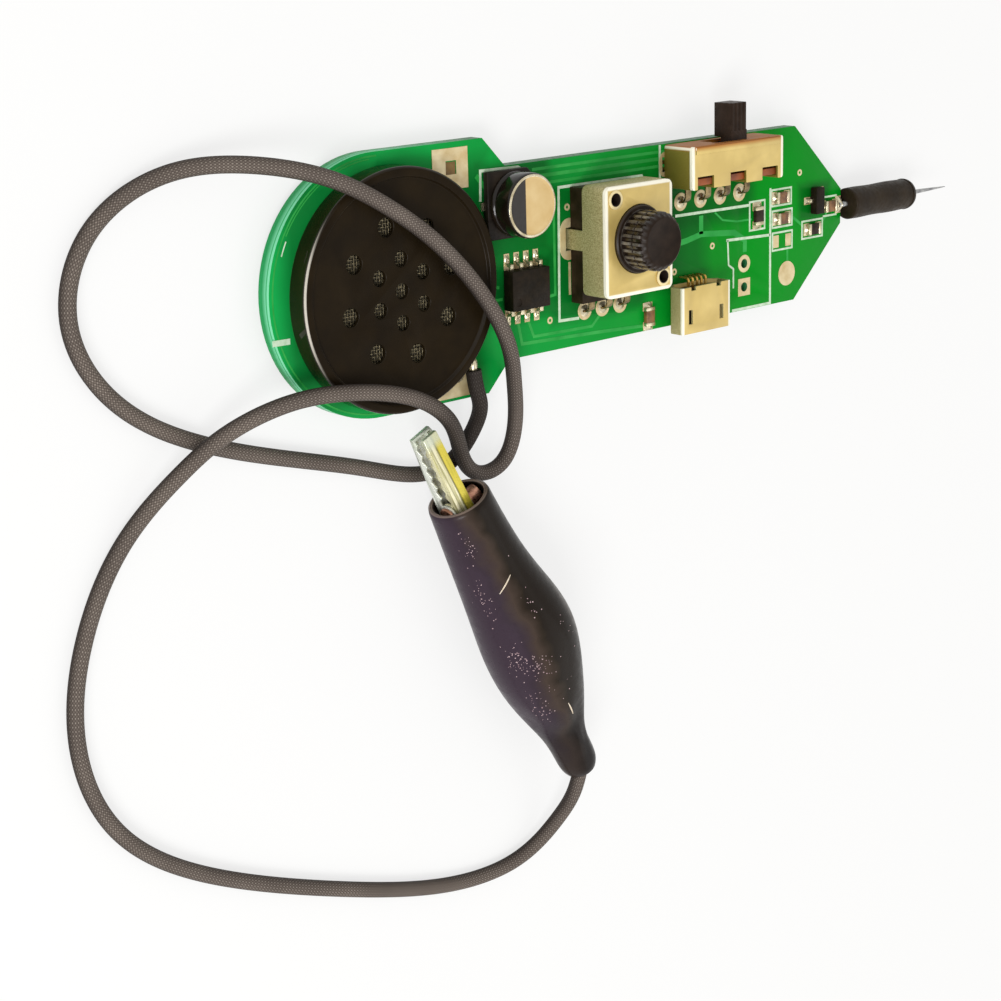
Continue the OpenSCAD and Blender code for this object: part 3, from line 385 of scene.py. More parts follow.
def braid_effect():
    """Crossed threads: two sets of slanted waves cut the cover into slanted cells, each a low bump; a
    chequer lifts every second one."""
    def build(lay):
        x, y, _ = lay.axes(lay["Vector"])
        along, around = x * lay["Along"], y * lay["Around"]
        turn = 2 * math.pi
        over = ((along + around) * turn).maths("SINE") * ((along - around) * turn).maths("SINE")
        height = over * 0.16 + abs(over) ** 0.6 * 0.84
        return {"Height": height, "Thread": height.span(0.05, 0.7), "Top": height.span(0.72, 1)}
    return effect("Braid", build, Along=4.0, Around=8.0)


def patch_effect():
    """A rectangle with soft edges, 1 inside and 0 outside, in millimetres."""
    def build(lay):
        x, y, _ = lay.axes(lay["Vector"])
        past = (abs(x - lay["X"]) - lay["Half X"]).most(abs(y - lay["Y"]) - lay["Half Y"])
        return {"Mask": past.span(0, lay["Soft"], 1, 0)}
    return effect("Soft patch", build, X=0.0, Y=0.0, Half_X=1.0, Half_Y=1.0, Soft=1.0)


def sheet_effect():
    """Plated sheet: a slightly cloudy face, and speckled sides in painted shade."""
    def build(lay):
        # side: 1 on the sides, which take the Side colour as painted shade
        side = lay.facing(2).span(0.75, 0.35)
        specks = lay.noise(lay["Vector"], 9000.0, 1)
        cloud = lay.noise(lay["Vector"], 260.0, 3)
        dark = lay.blend(lay["Specks"], lay["Side"], (0.66, 0.66, 0.64), "MULTIPLY")
        light = lay.blend(lay["Specks"] * 0.13, lay["Side"], (1, 1, 0.85))
        deep = lay.blend(1.0, lay["Face"], (0.84, 0.82, 0.76), "MULTIPLY")
        face = deep.tint(cloud.span(0.35, 0.6), lay["Face"])
        return {
            "Colour": face.tint(side, dark.tint(specks.span(0.38, 0.62), light)),
            "Roughness": side.span(0, 1, 0.34, 0.55),
            "Height": specks * side + cloud * 0.3,
        }
    return effect("Plated sheet", build, ("Vector", "Normal"), ("Face", "Side"), Specks=1.0)


def cleared(owner):
    """The emptied node tree of a material or a world, ready to be laid out."""
    owner.use_nodes = True
    owner.node_tree.nodes.clear()
    return Layout(owner.node_tree)


def finish(name, build, **constants):
    """A material made once. build(lay) gives the Principled shader's varying inputs."""
    material = bpy.data.materials.get(name)
    if material is None:
        material = bpy.data.materials.new(name)
        lay = cleared(material)
        lay.given = lay.add("ShaderNodeTexCoord")
        shader = lay.add("ShaderNodeBsdfPrincipled", spaced({**constants, **build(lay)}))
        lay.add("ShaderNodeOutputMaterial", {0: shader[0]})
    return material


def coat(lay, colour, grain, rough, depth):
    """The shader's inputs for a colour on an uneven surface; depth is in millimetres."""
    return {"Base Color": colour, "Roughness": grain["Fine"].span(0, 1, *rough),
            "Normal": lay.relief(grain["Height"], depth)}


def cloudy(light, dark, scale, rough=(0.35, 0.55), depth=0.02):
    """What build gives for a plain uneven finish between two colours."""
    def build(lay):
        grain = lay.use(grain_effect(), Scale=scale)
        return coat(lay, lay.blend(grain["Cloud"], dark, light), grain, rough, depth)
    return build


def settings(group):
    """One of the groups of settings."""
    return getattr(bpy.context.scene, "detector_" + group)


def mask_finish():
    """Solder mask: bright at the round end and deeper towards the probe, a painted fall-off of light;
    dark with painted shade round and under the parts; at the sawn edge pale laminate, with painted light on
    it at the round end and painted shade further along."""
    board = settings("board")
    # Painted shade round and under the parts: x and y of the middle, half their length and width, and their
    # softness
    shaded_areas = [
        (17.2, 5.2, 4.6, 4.6, 1.2), (28.6, 0, 6.6, 6.9, 1.4), (18, -2.6, 4.2, 3.2, 1.5),
        (44, 3.0, 7.6, 2.6, 1.6), (37.4, 0.4, 3.2, 6.2, 2.2), (40.5, -1.2, 3.6, 3.4, 2.6),
        (61.6, 1, 2.6, 2, 1), (*SPEAKER_XY, 12, 11, 2.2),
    ]

    def build(lay):
        grain = lay.use(grain_effect(), Scale=240.0)
        at = lay.millimetres(ORIGIN)
        x, _, z = lay.axes(at)
        # painted fall-off of light: the mask is brighter at the round end and deeper towards the probe
        mask = lay.blend(x.span(-6, 46), board.bright, board.deep)
        mask = mask.tint(grain["Cloud"].span(0, 1, 0, 0.12), board.bare)
        for middle_x, middle_y, half_x, half_y, soft in shaded_areas:
            patch = lay.use(patch_effect(), Vector=at, X=middle_x, Y=middle_y, Half_X=half_x - soft / 2,
                            Half_Y=half_y - soft / 2, Soft=soft)
            # painted shade round and under the parts, in the bare mask colour
            mask = mask.tint(patch["Mask"] * 0.6, board.bare)
        sawn = lay.blend(z.span(-1.1, -0.4), "#1f9a55", board.edge)
        sawn = sawn.tint(abs(z + 0.42).span(0.05, 0.11, 0.8, 0), "#149a50")
        # painted light on the sawn edge at the round end, fading to painted shade in the bare colour towards
        # the probe
        edge = lay.blend(x.span(1, 13, 1, 0.15), board.bare, sawn)
        return coat(lay, mask.tint(lay.facing(2).span(0.7, 0.4), edge), grain, (0.28, 0.4), 0.012)
    return finish("solder_mask", build, Specular_IOR_Level=0.06)


def track_finish():
    """The same mask over a copper track."""
    build = cloudy(settings("board").track, "#229a3e", 420.0, (0.3, 0.4), 0.01)
    return finish("mask_over_track", build, Specular_IOR_Level=0.12)


def ink_finish():
    """Printed lines with slightly thin ink."""
    return finish("printed_ink", cloudy(settings("board").ink, "#b9d9b4", 1500.0, (0.55, 0.75), 0.01))


def land_finish():
    """Flat tinned copper."""
    return finish("tinned_land", cloudy(settings("board").tin, "#c9b07c", 700.0, (0.3, 0.5)), Metallic=0.2)


def solder_finish():
    """Bright solder with dull and shiny spots."""
    build = cloudy(settings("parts").solder, "#a5997a", 900.0, (0.14, 0.3), 0.008)
    return finish("bright_solder", build, Metallic=0.75)


def pin_finish():
    """Drawn pins, darker than the solder that holds them."""
    return finish("drawn_pin", cloudy("#8f7d58", "#4a3d2a", 700.0, (0.12, 0.25), 0.01), Metallic=0.85)


def gold_finish():
    """Gilt spring metal of the wipers and contacts."""
    return metal_finish("gold_spring", "#e0b860", "#a87c30")


def sheet_finish(name, node, top, fold=0.34, ends_only=False, side=None, back_y=None):
    """Folded plated sheet, with a painted white highlight along the folds round its top, or at its two ends
    alone. From back_y on its face is brown with a painted orange highlight along its border, and its sides
    end in a painted highlight along the edge.
    Places are board millimetres."""
    parts = settings("parts")
    low, high = board_box(node)
    middle, half = (low + high) / 2, (high - low) / 2

    def build(lay):
        skin = lay.use(sheet_effect(), Normal=lay["Normal"], Face=colour_of(parts.sheet),
                       Side=colour_of(side or parts.sheet_side), Specks=0.15 if side else 1.0)
        colour = skin["Colour"]
        x, y, z = lay.on_board()
        if back_y is not None:
            # painted orange highlight along the border of the brown back
            border_highlight = y.span(back_y - 0.35, back_y, 0, 0.8) * y.span(back_y + 0.15, back_y + 0.4, 1, 0)
            # painted highlight along the back edge of the sides
            end_highlight = lay.facing(0).span(0.6, 0.8) * y.span(high[1] - 0.42, high[1] - 0.3, 0, 0.85)
            colour = colour.tint(y.span(back_y, back_y + 0.08), "#4e3014").tint(border_highlight, "#b8721f")
            colour = colour.tint(end_highlight, parts.fold)
        inside = abs(x - middle[0]) - half[0]
        if not ends_only:
            inside = inside.most(abs(y - middle[1]) - half[1])
        # painted white highlight along the folds round the top
        fold_highlight = inside.span(-1.2 * fold, -0.8 * fold) * z.span(top - 1.3 * fold, top - 0.9 * fold)
        return {"Base Color": colour.tint(fold_highlight, parts.fold), "Roughness": skin["Roughness"],
                "Normal": lay.relief(skin["Height"], 0.012)}
    return finish(name, build, Metallic=0.2)


def rivet_finish():
    """A rolled tubular rivet: a bright ring, and painted shade, dark brown, down its hole."""
    def build(lay):
        x, y, _ = lay.on_board()
        first, second = (away(x, y, at) for at in RIVETS)
        ring = first.maths("MINIMUM", second).span(0.64, 0.7)
        # painted shade: dark brown inside the ring, down the hole
        return {"Base Color": lay.blend(ring, "#1c1007", "#ecd9a4"), "Metallic": ring * 0.3,
                "Roughness": ring.span(0, 1, 0.6, 0.3)}
    return finish("rolled_rivet", build, Specular_IOR_Level=0.3)


def moulding_finish():
    """Satin black-brown moulding: matt on the front, glossy on the wall, and a painted highlight along
    its edge on the board's round side."""
    def build(lay):
        grain = lay.use(grain_effect(), Scale=330.0)
        up = lay.facing(2)
        x, y, _ = lay.on_board()
        # painted highlight: a pale band along the rim's edge, on the side of the board's round end
        edge = abs(up - 0.66).span(0.08, 0.3, 1, 0) * lay.axes(lay["Normal"])[0].span(-0.68, -0.56, 1, 0)
        highlight_reach = x.span(-6, -4, 0.85, 0) * abs(y).span(3.5, 8, 1, 0.12)
        colour = lay.blend(grain["Cloud"], "#1a1309", settings("parts").moulding)
        return {
            "Base Color": colour.tint(edge * highlight_reach, "#d6cfc2"),
            "Roughness": up.span(0.3, 0.9, 0.1, 0.5),
            "Specular IOR Level": up.span(0.3, 0.9, 0.35, 0.05),
            "Normal": lay.relief(grain["Height"], 0.012),
        }
    return finish("black_moulding", build)


def shaft_finish():
    """Knurled black plastic: ridges round the side, painted highlights on their crests, and a matt
    brown-black top."""
    def build(lay):
        grain = lay.use(grain_effect(), Scale=700.0)
        up = lay.facing(2)
        x, y, _ = lay.on_board()
        reach = away(x, y, POT_XY)
        # painted highlights on the knurl's crests
        crest_highlight = reach.span(KNURL_R - 0.09, KNURL_R - 0.02) * reach.span(KNURL_R + 0.02, KNURL_R + 0.05, 1, 0)
        crest_highlight = crest_highlight * grain["Cloud"].span(0.25, 0.95, 0.04, 0.42)
        colour = lay.blend(grain["Cloud"], "#1a110a", settings("parts").knob)
        return {
            "Base Color": colour.tint(crest_highlight, "#b0aba2"),
            "Roughness": up.span(0.3, 0.8, 0.2, 0.5),
            "Specular IOR Level": up.span(0.3, 0.8, 0.6, 0.1),
            "Normal": lay.relief(grain["Height"], 0.02),
        }
    return finish("shaft_plastic", build)


def dark_finish(name, light, dark, scale=600.0, rough=(0.35, 0.55), depth=0.015, level=0.12):
    """A dark plastic or rubber with a little texture."""
    return finish(name, cloudy(light, dark, scale, rough, depth), Specular_IOR_Level=level)


def metal_finish(name, light, dark, scale=800.0, rough=(0.2, 0.4), depth=0.01, metallic=0.8):
    """A plain metal with a little unevenness."""
    return finish(name, cloudy(light, dark, scale, rough, depth), Metallic=metallic)


def lead_finish():
    """Braided cover: threads on the lead's own map, with painted shade between them, painted highlights
    on their crests and painted shade at the sides; nearly black with painted shade by its pad and where it
    rests against the jaws. The map counts the lead's girths from the pad."""
    lead = settings("lead")

    def build(lay):
        weave = lay.use(braid_effect(), Vector=lay["UV"], Along=6.2, Around=9.0)
        grain = lay.use(grain_effect(), Scale=160.0)
        threads = lay.blend(grain["Cloud"], "#665c55", lead.thread)
        # painted shade between the threads, and painted highlights on their crests
        colour = lay.blend(weave["Thread"], lead.gap, threads).tint(weave["Top"] * 0.5, "#c0b6ab")
        # painted shade on the sides of the lead
        shade = lay.axes(lay["Normal"])[2].span(0.0, 0.9, 0.85, 0)
        along = lay.axes(lay["UV"])[0]
        # painted shade, nearly black, by the pad and where the lead rests against the jaws
        black = along.span(2.0, 4.2, 0.8, 0).most(abs(along - 29.9).span(0.5, 1.6, 0.6, 0))
        return {
            "Base Color": colour.tint(shade, "#211a17").tint(black, "#17110e"),
            "Roughness": weave["Height"].span(0, 1, 0.75, 0.5),
            "Normal": lay.relief(weave["Height"], 0.035),
        }
    return finish("braided_cover", build, Specular_IOR_Level=0.15)


def boot_finish():
    """Soft vinyl: purple-black on its left side and brown-black on its right, a painted highlight along the
    line between them, darker at the neck, and painted highlights at the mouth and on the right shoulder."""
    boot = settings("boot")

    def build(lay):
        x, y, z = lay.axes(lay.on_clip())
        grain = lay.use(grain_effect(), Scale=210.0)
        wander = grain["Cloud"] * 1.4 + y - 2.7
        # painted highlight along the line between the purple and the brown
        boundary_highlight = abs(wander + 0.5).span(0, 1.2, 0.14, 0)
        neck = x.span(-30, -25, 0.55, 0)
        # painted highlight on the right shoulder
        shoulder = abs(x + 17).span(2, 7, 0.5, 0) * y.span(-4.4, -3.2, 1, 0)
        # painted highlight round the mouth's rim
        rim = x.span(-0.12, -0.04, 0, 0.75) * abs(away(y, z) - 2.88).span(0.06, 0.2, 0.25, 1)
        colour = lay.blend(wander.span(-1.4, 1.2), boot.right, boot.left).tint(boundary_highlight, "#8a7458")
        colour = colour.tint(neck, "#120d0f").tint(shoulder, "#6f665e").tint(rim, "#dcc3b2")
        return coat(lay, colour, grain, (0.26, 0.4), 0.04)
    return finish("soft_vinyl", build, Specular_IOR_Level=0.08, Coat_Weight=0.1, Coat_Roughness=0.2)


def jaw_finish(name, light, dark, flank=None):
    """Plated jaw with long drawn grooves along the clip, paler and greenish at its tip; flank is the colour
    of its left half, parted from the right one by a dark groove."""
    def build(lay):
        at = lay.on_clip()
        x, y, _ = lay.axes(at)
        groove = lay.noise(lay.vector("MULTIPLY", at, (0.12, 2.6, 2.6)), 1.0)
        wear = lay.use(grain_effect(), Scale=420.0)
        colour = light
        if flank:
            left = y - JAW_MIDDLE
            lines = abs(left).span(0.05, 0.12, 0.75, 0).most(abs(left - 0.55).span(0.02, 0.09, 0.5, 0))
            colour = lay.blend(left.span(-0.04, 0.04), light, flank).tint(lines, "#3a3418")
        colour = lay.blend(groove.span(0.32, 0.56, 0.7, 0), colour, dark)
        tip = x.span(JAW_TIP - 1.6, JAW_TIP - 0.7, 0, 0.75)
        return {"Base Color": colour.tint(tip, "#d3dac6"), "Roughness": wear["Fine"].span(0, 1, 0.22, 0.42),
                "Normal": lay.relief(groove, 0.05)}
    return finish(name, build, Metallic=0.45)


def can_top_finish():
    """The capacitor's top: a black half-moon on the side of its minus leg, plain foil beside it."""
    def build(lay):
        grain = lay.use(grain_effect(), Scale=500.0)
        moon = (lay.on_board()[0] - (CAN_XY[0] - 0.85)).span(-0.04, 0.04)
        foil = lay.blend(grain["Cloud"], "#cfae70", "#dcc088")
        return coat(lay, lay.blend(moon, "#1d1712", foil), grain, (0.3, 0.42), 0.008)
    return finish("can_top", build, Metallic=0.15)


def grid_faces(rows, columns, wrap_rows=False, wrap_columns=False):
    """Quads between neighbouring rows and columns of points, counted row by row."""
    last_row, last_column = rows - (not wrap_rows), columns - (not wrap_columns)
    r, c = np.meshgrid(np.arange(last_row), np.arange(last_column), indexing="ij")
    below, beside = (r + 1) % rows, (c + 1) % columns
    corners = [r * columns + c, below * columns + c, below * columns + beside, r * columns + beside]
    return np.stack(corners, -1).reshape(-1, 4)


def surface(points, along=1.0, around=1.0, kinds=None, wrap_rows=False):
    """A grid of points as one block: points, quads, a map that runs 0 to along and 0 to around,
    and for each row of quads the number of its material."""
    rows, columns = points.shape[:2]
    faces = grid_faces(rows, columns, wrap_rows)
    u = np.broadcast_to(np.asarray(along, float).reshape(-1, 1) if np.ndim(along) else
                        np.linspace(0, along, rows)[:, None], (rows, columns))
    v = np.broadcast_to(np.linspace(0, around, columns), (rows, columns))
    kind = np.zeros(len(faces), int) if kinds is None else np.repeat(kinds, columns - 1)
    return points.reshape(-1, 3), faces, np.stack([u, v], -1).reshape(-1, 2), kind


def unit(vectors):
    """Vectors of length one."""
    return vectors / np.linalg.norm(vectors, axis=-1, keepdims=True)


def spline(points, steps):
    """Cubic B-spline: each span blends four neighbours by the cubic weights, with reflected ends."""
    p = np.asarray(points, float)
    p = np.vstack([2 * p[0] - p[1], p, 2 * p[-1] - p[-2]])
    t = (np.arange(steps) / steps)[:, None]
    weights = np.hstack([(1 - t) ** 3, 3 * t ** 3 - 6 * t ** 2 + 4, -3 * t ** 3 + 3 * t ** 2 + 3 * t + 1,
                         t ** 3]) / 6
    spans = np.stack([p[:-3], p[1:-2], p[2:-1], p[3:]], 1)
    curve = np.einsum("tw,swd->std", weights, spans).reshape(-1, p.shape[1])
    return np.vstack([curve, points[-1]])


def tube(path, radius, sides):
    """A circle carried along a path: path + r (cos a side + sin a over), with the ends drawn to a point."""
    path = np.asarray(path, float)
    along = unit(np.gradient(path, axis=0))
    flat = np.abs(along[:, 2:]) > 0.95
    up = np.where(flat, [1.0, 0.0, 0.0], [0.0, 0.0, 1.0])
    side = unit(np.cross(up, along))
    over = np.cross(along, side)
    radius = np.broadcast_to(np.asarray(radius, float), len(path)).copy()
    path, side, over = (np.concatenate([v[:1], v, v[-1:]]) for v in (path, side, over))
    radius = np.concatenate([[0], radius, [0]])
    a = np.linspace(0, 2 * math.pi, sides + 1)[None, :, None]
    ring = np.cos(a) * side[:, None] + np.sin(a) * over[:, None]
    lengths = np.concatenate([[0], np.cumsum(np.linalg.norm(np.diff(path, axis=0), axis=1))])
    return path[:, None] + radius[:, None, None] * ring, lengths


def turned(profile, sides):
    """A profile of (height, radius) turned about z: (r cos a, r sin a, h)."""
    profile = np.asarray(profile, float)
    a = np.linspace(0, 2 * math.pi, sides + 1)[None]
    h, r = profile[:, :1], profile[:, 1:2]
    return np.stack([r * np.cos(a), r * np.sin(a), h + 0 * a], -1)


def studs(places, outward, radii):
    """Low six-sided studs: for each place a ring of six points round it, square to the outward
    direction, with an apex above and one below."""
    first = unit(np.cross(outward, [0.0, 0.0, 1.0] + 0.01 * outward))
    second = np.cross(outward, first)
    a = np.arange(6) * math.pi / 3
    ring = np.cos(a)[None, :, None] * first[:, None] + np.sin(a)[None, :, None] * second[:, None]
    ring = places[:, None] + radii[:, None, None] * ring
    top = places + outward * radii[:, None] * 0.7
    foot = places - outward * radii[:, None] * 0.5
    points = np.concatenate([ring, top[:, None], foot[:, None]], 1)
    k = np.arange(6)
    fan = np.stack([k, (k + 1) % 6, np.full(6, 6)], -1)
    under = np.stack([(k + 1) % 6, k, np.full(6, 7)], -1)
    one = np.vstack([fan, under])
    faces = (one[None] + 8 * np.arange(len(places))[:, None, None]).reshape(-1, 3)
    return points.reshape(-1, 3), faces, np.zeros((8 * len(places), 2)), np.zeros(len(faces), int)


def ribbon(line, width, low, high, closed=False):
    """A flat strip along a line on the board: the line is offset by half the width to both sides,
    mitred at its corners, and has a rectangle between two heights for its section."""
    line = np.asarray(line, float)
    step = np.diff(np.vstack([line, line[:1]]) if closed else line, axis=0)
    normal = unit(np.stack([-step[:, 1], step[:, 0]], -1))
    before = np.roll(normal, 1, axis=0) if closed else np.vstack([normal[:1], normal])
    after = normal if closed else np.vstack([normal, normal[-1:]])
    mitre = unit(before + after)
    mitre = mitre * (width / 2 / np.clip((mitre * after).sum(-1, keepdims=True), 0.4, 1))
    left, right = line + mitre, line - mitre
    n = len(line)
    flat = [np.column_stack([edge, np.full(n, z)]) for edge, z in
            ((left, low), (left, high), (right, high), (right, low))]
    points = np.stack(flat, 1)
    faces = grid_faces(n, 4, closed, True)
    if not closed:
        last = 4 * (n - 1)
        faces = np.vstack([faces, [[0, 1, 2, 3], [last + 3, last + 2, last + 1, last]]])
    return points.reshape(-1, 3), faces, np.zeros((4 * n, 2)), np.zeros(len(faces), int)


def lump(at, half, height, power, square):
    """A mound of solder on a land: height (1 - p)^power over a rounded rectangle, p from its middle
    to its rim."""
    p = np.linspace(0, 1, 9)[:, None]
    a = np.linspace(0, 2 * math.pi, 25)[None]
    c, s = np.cos(a), np.sin(a)
    shape = (np.abs(c) ** square + np.abs(s) ** square) ** (-1 / square)
    x, y = at[0] + half[0] * p * shape * c, at[1] + half[1] * p * shape * s
    top = np.stack([x, y, LAND_T + height * (1 - p) ** power + 0 * a], -1)
    foot = np.stack([at[0] + 0 * a, at[1] + 0 * a, LAND_T + 0 * a], -1)
    return surface(np.concatenate([top, foot]))


def join(blocks):
    """Several blocks as one."""
    first = np.cumsum([0] + [len(b[0]) for b in blocks[:-1]])
    return (np.vstack([b[0] for b in blocks]), np.vstack([b[1] + f for b, f in zip(blocks, first)]),
            np.vstack([b[2] for b in blocks]), np.concatenate([b[3] for b in blocks]))


def piece(name, block, materials, body, replaced=(), angle=38):
    """One object from a block in row-frame metres: doubles merged, faces outwards, smooth between
    sharp edges; it rides on a body and stands for the CAD nodes it replaces."""
    points, faces, places, kinds = block
    mesh = bpy.data.meshes.new(name)
    mesh.from_pydata(points, [], faces)
    layer = mesh.uv_layers.new(name="Map")
    corner = np.zeros(len(mesh.loops), int)
    mesh.loops.foreach_get("vertex_index", corner)
    layer.data.foreach_set("uv", places[corner].astype(np.float32).ravel())
    mesh.polygons.foreach_set("material_index", kinds.astype(np.int32))
    for material in materials:
        mesh.materials.append(material)
    bm = bmesh.new()
    bm.from_mesh(mesh)
    bmesh.ops.remove_doubles(bm, verts=bm.verts, dist=1e-8)
    bmesh.ops.dissolve_degenerate(bm, edges=bm.edges, dist=1e-9)
    bmesh.ops.recalc_face_normals(bm, faces=bm.faces)
    bm.to_mesh(mesh)
    bm.free()
    return place(name, mesh, body, replaced, angle)


def laid(name, blocks, material, replaced=()):
    """Blocks in board millimetres as one piece of the board."""
    points, *rest = join(blocks)
    return piece(name, (on_board(points), *rest), [material], "board", replaced)


def linked(name, data):
    """A new object in the scene."""
    made = bpy.data.objects.new(name, data)
    bpy.context.scene.collection.objects.link(made)
    return made


def place(name, mesh, body, replaced, angle=38):
    """Links a finished mesh as a piece of the object."""
    mesh.shade_smooth()
    mesh.set_sharp_from_angle(angle=math.radians(angle))
    made = linked(name, mesh)
    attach(made, body)
    if replaced:
        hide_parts(*replaced)
    return made


def dressed(node, material, bevel, body="board", segments=2):
    """A merged copy of a CAD node with its sharp edges rounded by the bevel's millimetres."""
    mesh = bpy.data.meshes.new(node + "_skin")
    bm = bmesh.new()
    bm.from_mesh(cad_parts[node].data)
    bmesh.ops.remove_doubles(bm, verts=bm.verts, dist=1e-7)
    bmesh.ops.dissolve_limit(bm, angle_limit=math.radians(0.5), verts=bm.verts, edges=bm.edges)
    edges = [e for e in bm.edges if sharp(e)]
    if edges:
        bmesh.ops.bevel(bm, geom=edges, offset=bevel * MM, offset_type="OFFSET", segments=segments,
                        profile=0.5, affect="EDGES", clamp_overlap=True, loop_slide=True)
    bmesh.ops.dissolve_degenerate(bm, edges=bm.edges, dist=1e-8)
    bm.to_mesh(mesh)
    bm.free()
    mesh.materials.clear()
    mesh.materials.append(material)
    return place(node + "_skin", mesh, body, [node])


def sharp(edge):
    """True for an edge between two faces that meet at over 32 degrees."""
    return len(edge.link_faces) == 2 and edge.calc_face_angle(0) > math.radians(32)


def keep(material, *nodes):
    """Gives a material to CAD nodes whose shape stays."""
    for node in nodes:
        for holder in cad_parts[node].material_slots:
            holder.material = material


class MakeStage(bpy.types.Operator):
    """Lays the floor, hangs two soft lamps, lights the sky and sets the camera"""
    bl_idname = "detector.make_stage"
    bl_label = "Stage"

    def execute(self, context):
        stage = settings("stage")
        context.scene.view_settings.view_transform = "Standard"
        self.floor(stage)
        self.sky(context, stage)
        self.lamp("key_lamp", (-0.42, -0.16, 0.37), 0.22, stage.key)
        self.lamp("fill_lamp", (0.35, -0.3, 0.5), 0.5, stage.fill)
        self.camera(context, stage)
        return {"FINISHED"}

    def white_rays(self, lay):
        """1 for rays from the camera, and for mirrored and refracted ones."""
        rays = lay.add("ShaderNodeLightPath")
        return rays["Is Camera Ray"].most(rays["Is Glossy Ray"]).most(rays["Is Transmission Ray"])

    def floor(self, stage):
        """A flat sheet, partly plain white to the camera and in reflections, which keeps the shadow."""
        edge = np.linspace(-2, 2, 3)
        points = np.stack([*np.meshgrid(edge, edge, indexing="ij"), np.zeros((3, 3))], -1)
        mesh = bpy.data.meshes.new("floor")
        mesh.from_pydata(points.reshape(-1, 3), [], grid_faces(3, 3)[:, ::-1])
        material = bpy.data.materials.new("pale_floor")
        lay = cleared(material)
        paper = lay.add("ShaderNodeBsdfDiffuse", {"Color": colour_of(stage.floor)})
        white = lay.add("ShaderNodeEmission", {"Strength": 1.0})
        share = self.white_rays(lay) * stage.white
        mixed = lay.add("ShaderNodeMixShader", {0: share, 1: paper[0], 2: white[0]})
        lay.add("ShaderNodeOutputMaterial", {0: mixed[0]})
        mesh.materials.append(material)
        floor = linked("floor", mesh)

    def sky(self, context, stage):
        """A dome of even light that looks plain white itself."""
        world = bpy.data.worlds.new("studio")
        context.scene.world = world
        lay = cleared(world)
        light = lay.add("ShaderNodeBackground", {"Color": (1, 0.985, 0.96, 1), "Strength": stage.world})
        white = lay.add("ShaderNodeBackground", {"Color": (1, 1, 1, 1), "Strength": 1.0})
        mixed = lay.add("ShaderNodeMixShader", {0: self.white_rays(lay), 1: light[0], 2: white[0]})
        lay.add("ShaderNodeOutputWorld", {0: mixed[0]})

    def lamp(self, name, at, size, power):
        """A square soft lamp that faces the object."""
        light = bpy.data.lights.new(name, "AREA")
        light.size = size
        light.energy = power
        lamp = linked(name, light)
        lamp.location = at
        lamp.rotation_euler = Vector(at).to_track_quat("Z", "Y").to_euler()

    def camera(self, context, stage):
        """The photograph's place, direction and roll."""
        data = bpy.data.cameras.new("camera")
        data.lens = stage.lens
        data.sensor_width = 36
        data.clip_start = 0.01
        ahead = CAMERA_AHEAD.normalized()
        across = ahead.cross(CAMERA_UP).normalized()
        over = across.cross(ahead)
        camera = linked("camera", data)
        turn = Matrix((across, over, -ahead)).transposed().to_4x4()
        camera.matrix_world = Matrix.Translation(CAMERA_AT * MM) @ turn
        context.scene.camera = camera


def lead_path():
    """The lead's middle line in row-frame metres."""
    return on_table(spline(LEAD_ROUTE, 16))


class MakeLead(bpy.types.Operator):
    """Makes the earth lead: a round braided cover along the lead's route, from its pad to the boot"""
    bl_idname = "detector.make_lead"
    bl_label = "Earth lead"

    def execute(self, context):
        lead = settings("lead")
        radius = lead.diameter / 2
        points, lengths = tube(lead_path(), radius, lead.sides)
        block = surface(points, along=lengths / (2 * math.pi * radius), around=1.0)
        piece("earth_lead", block, [lead_finish()], "board", ["lead"])
        return {"FINISHED"}


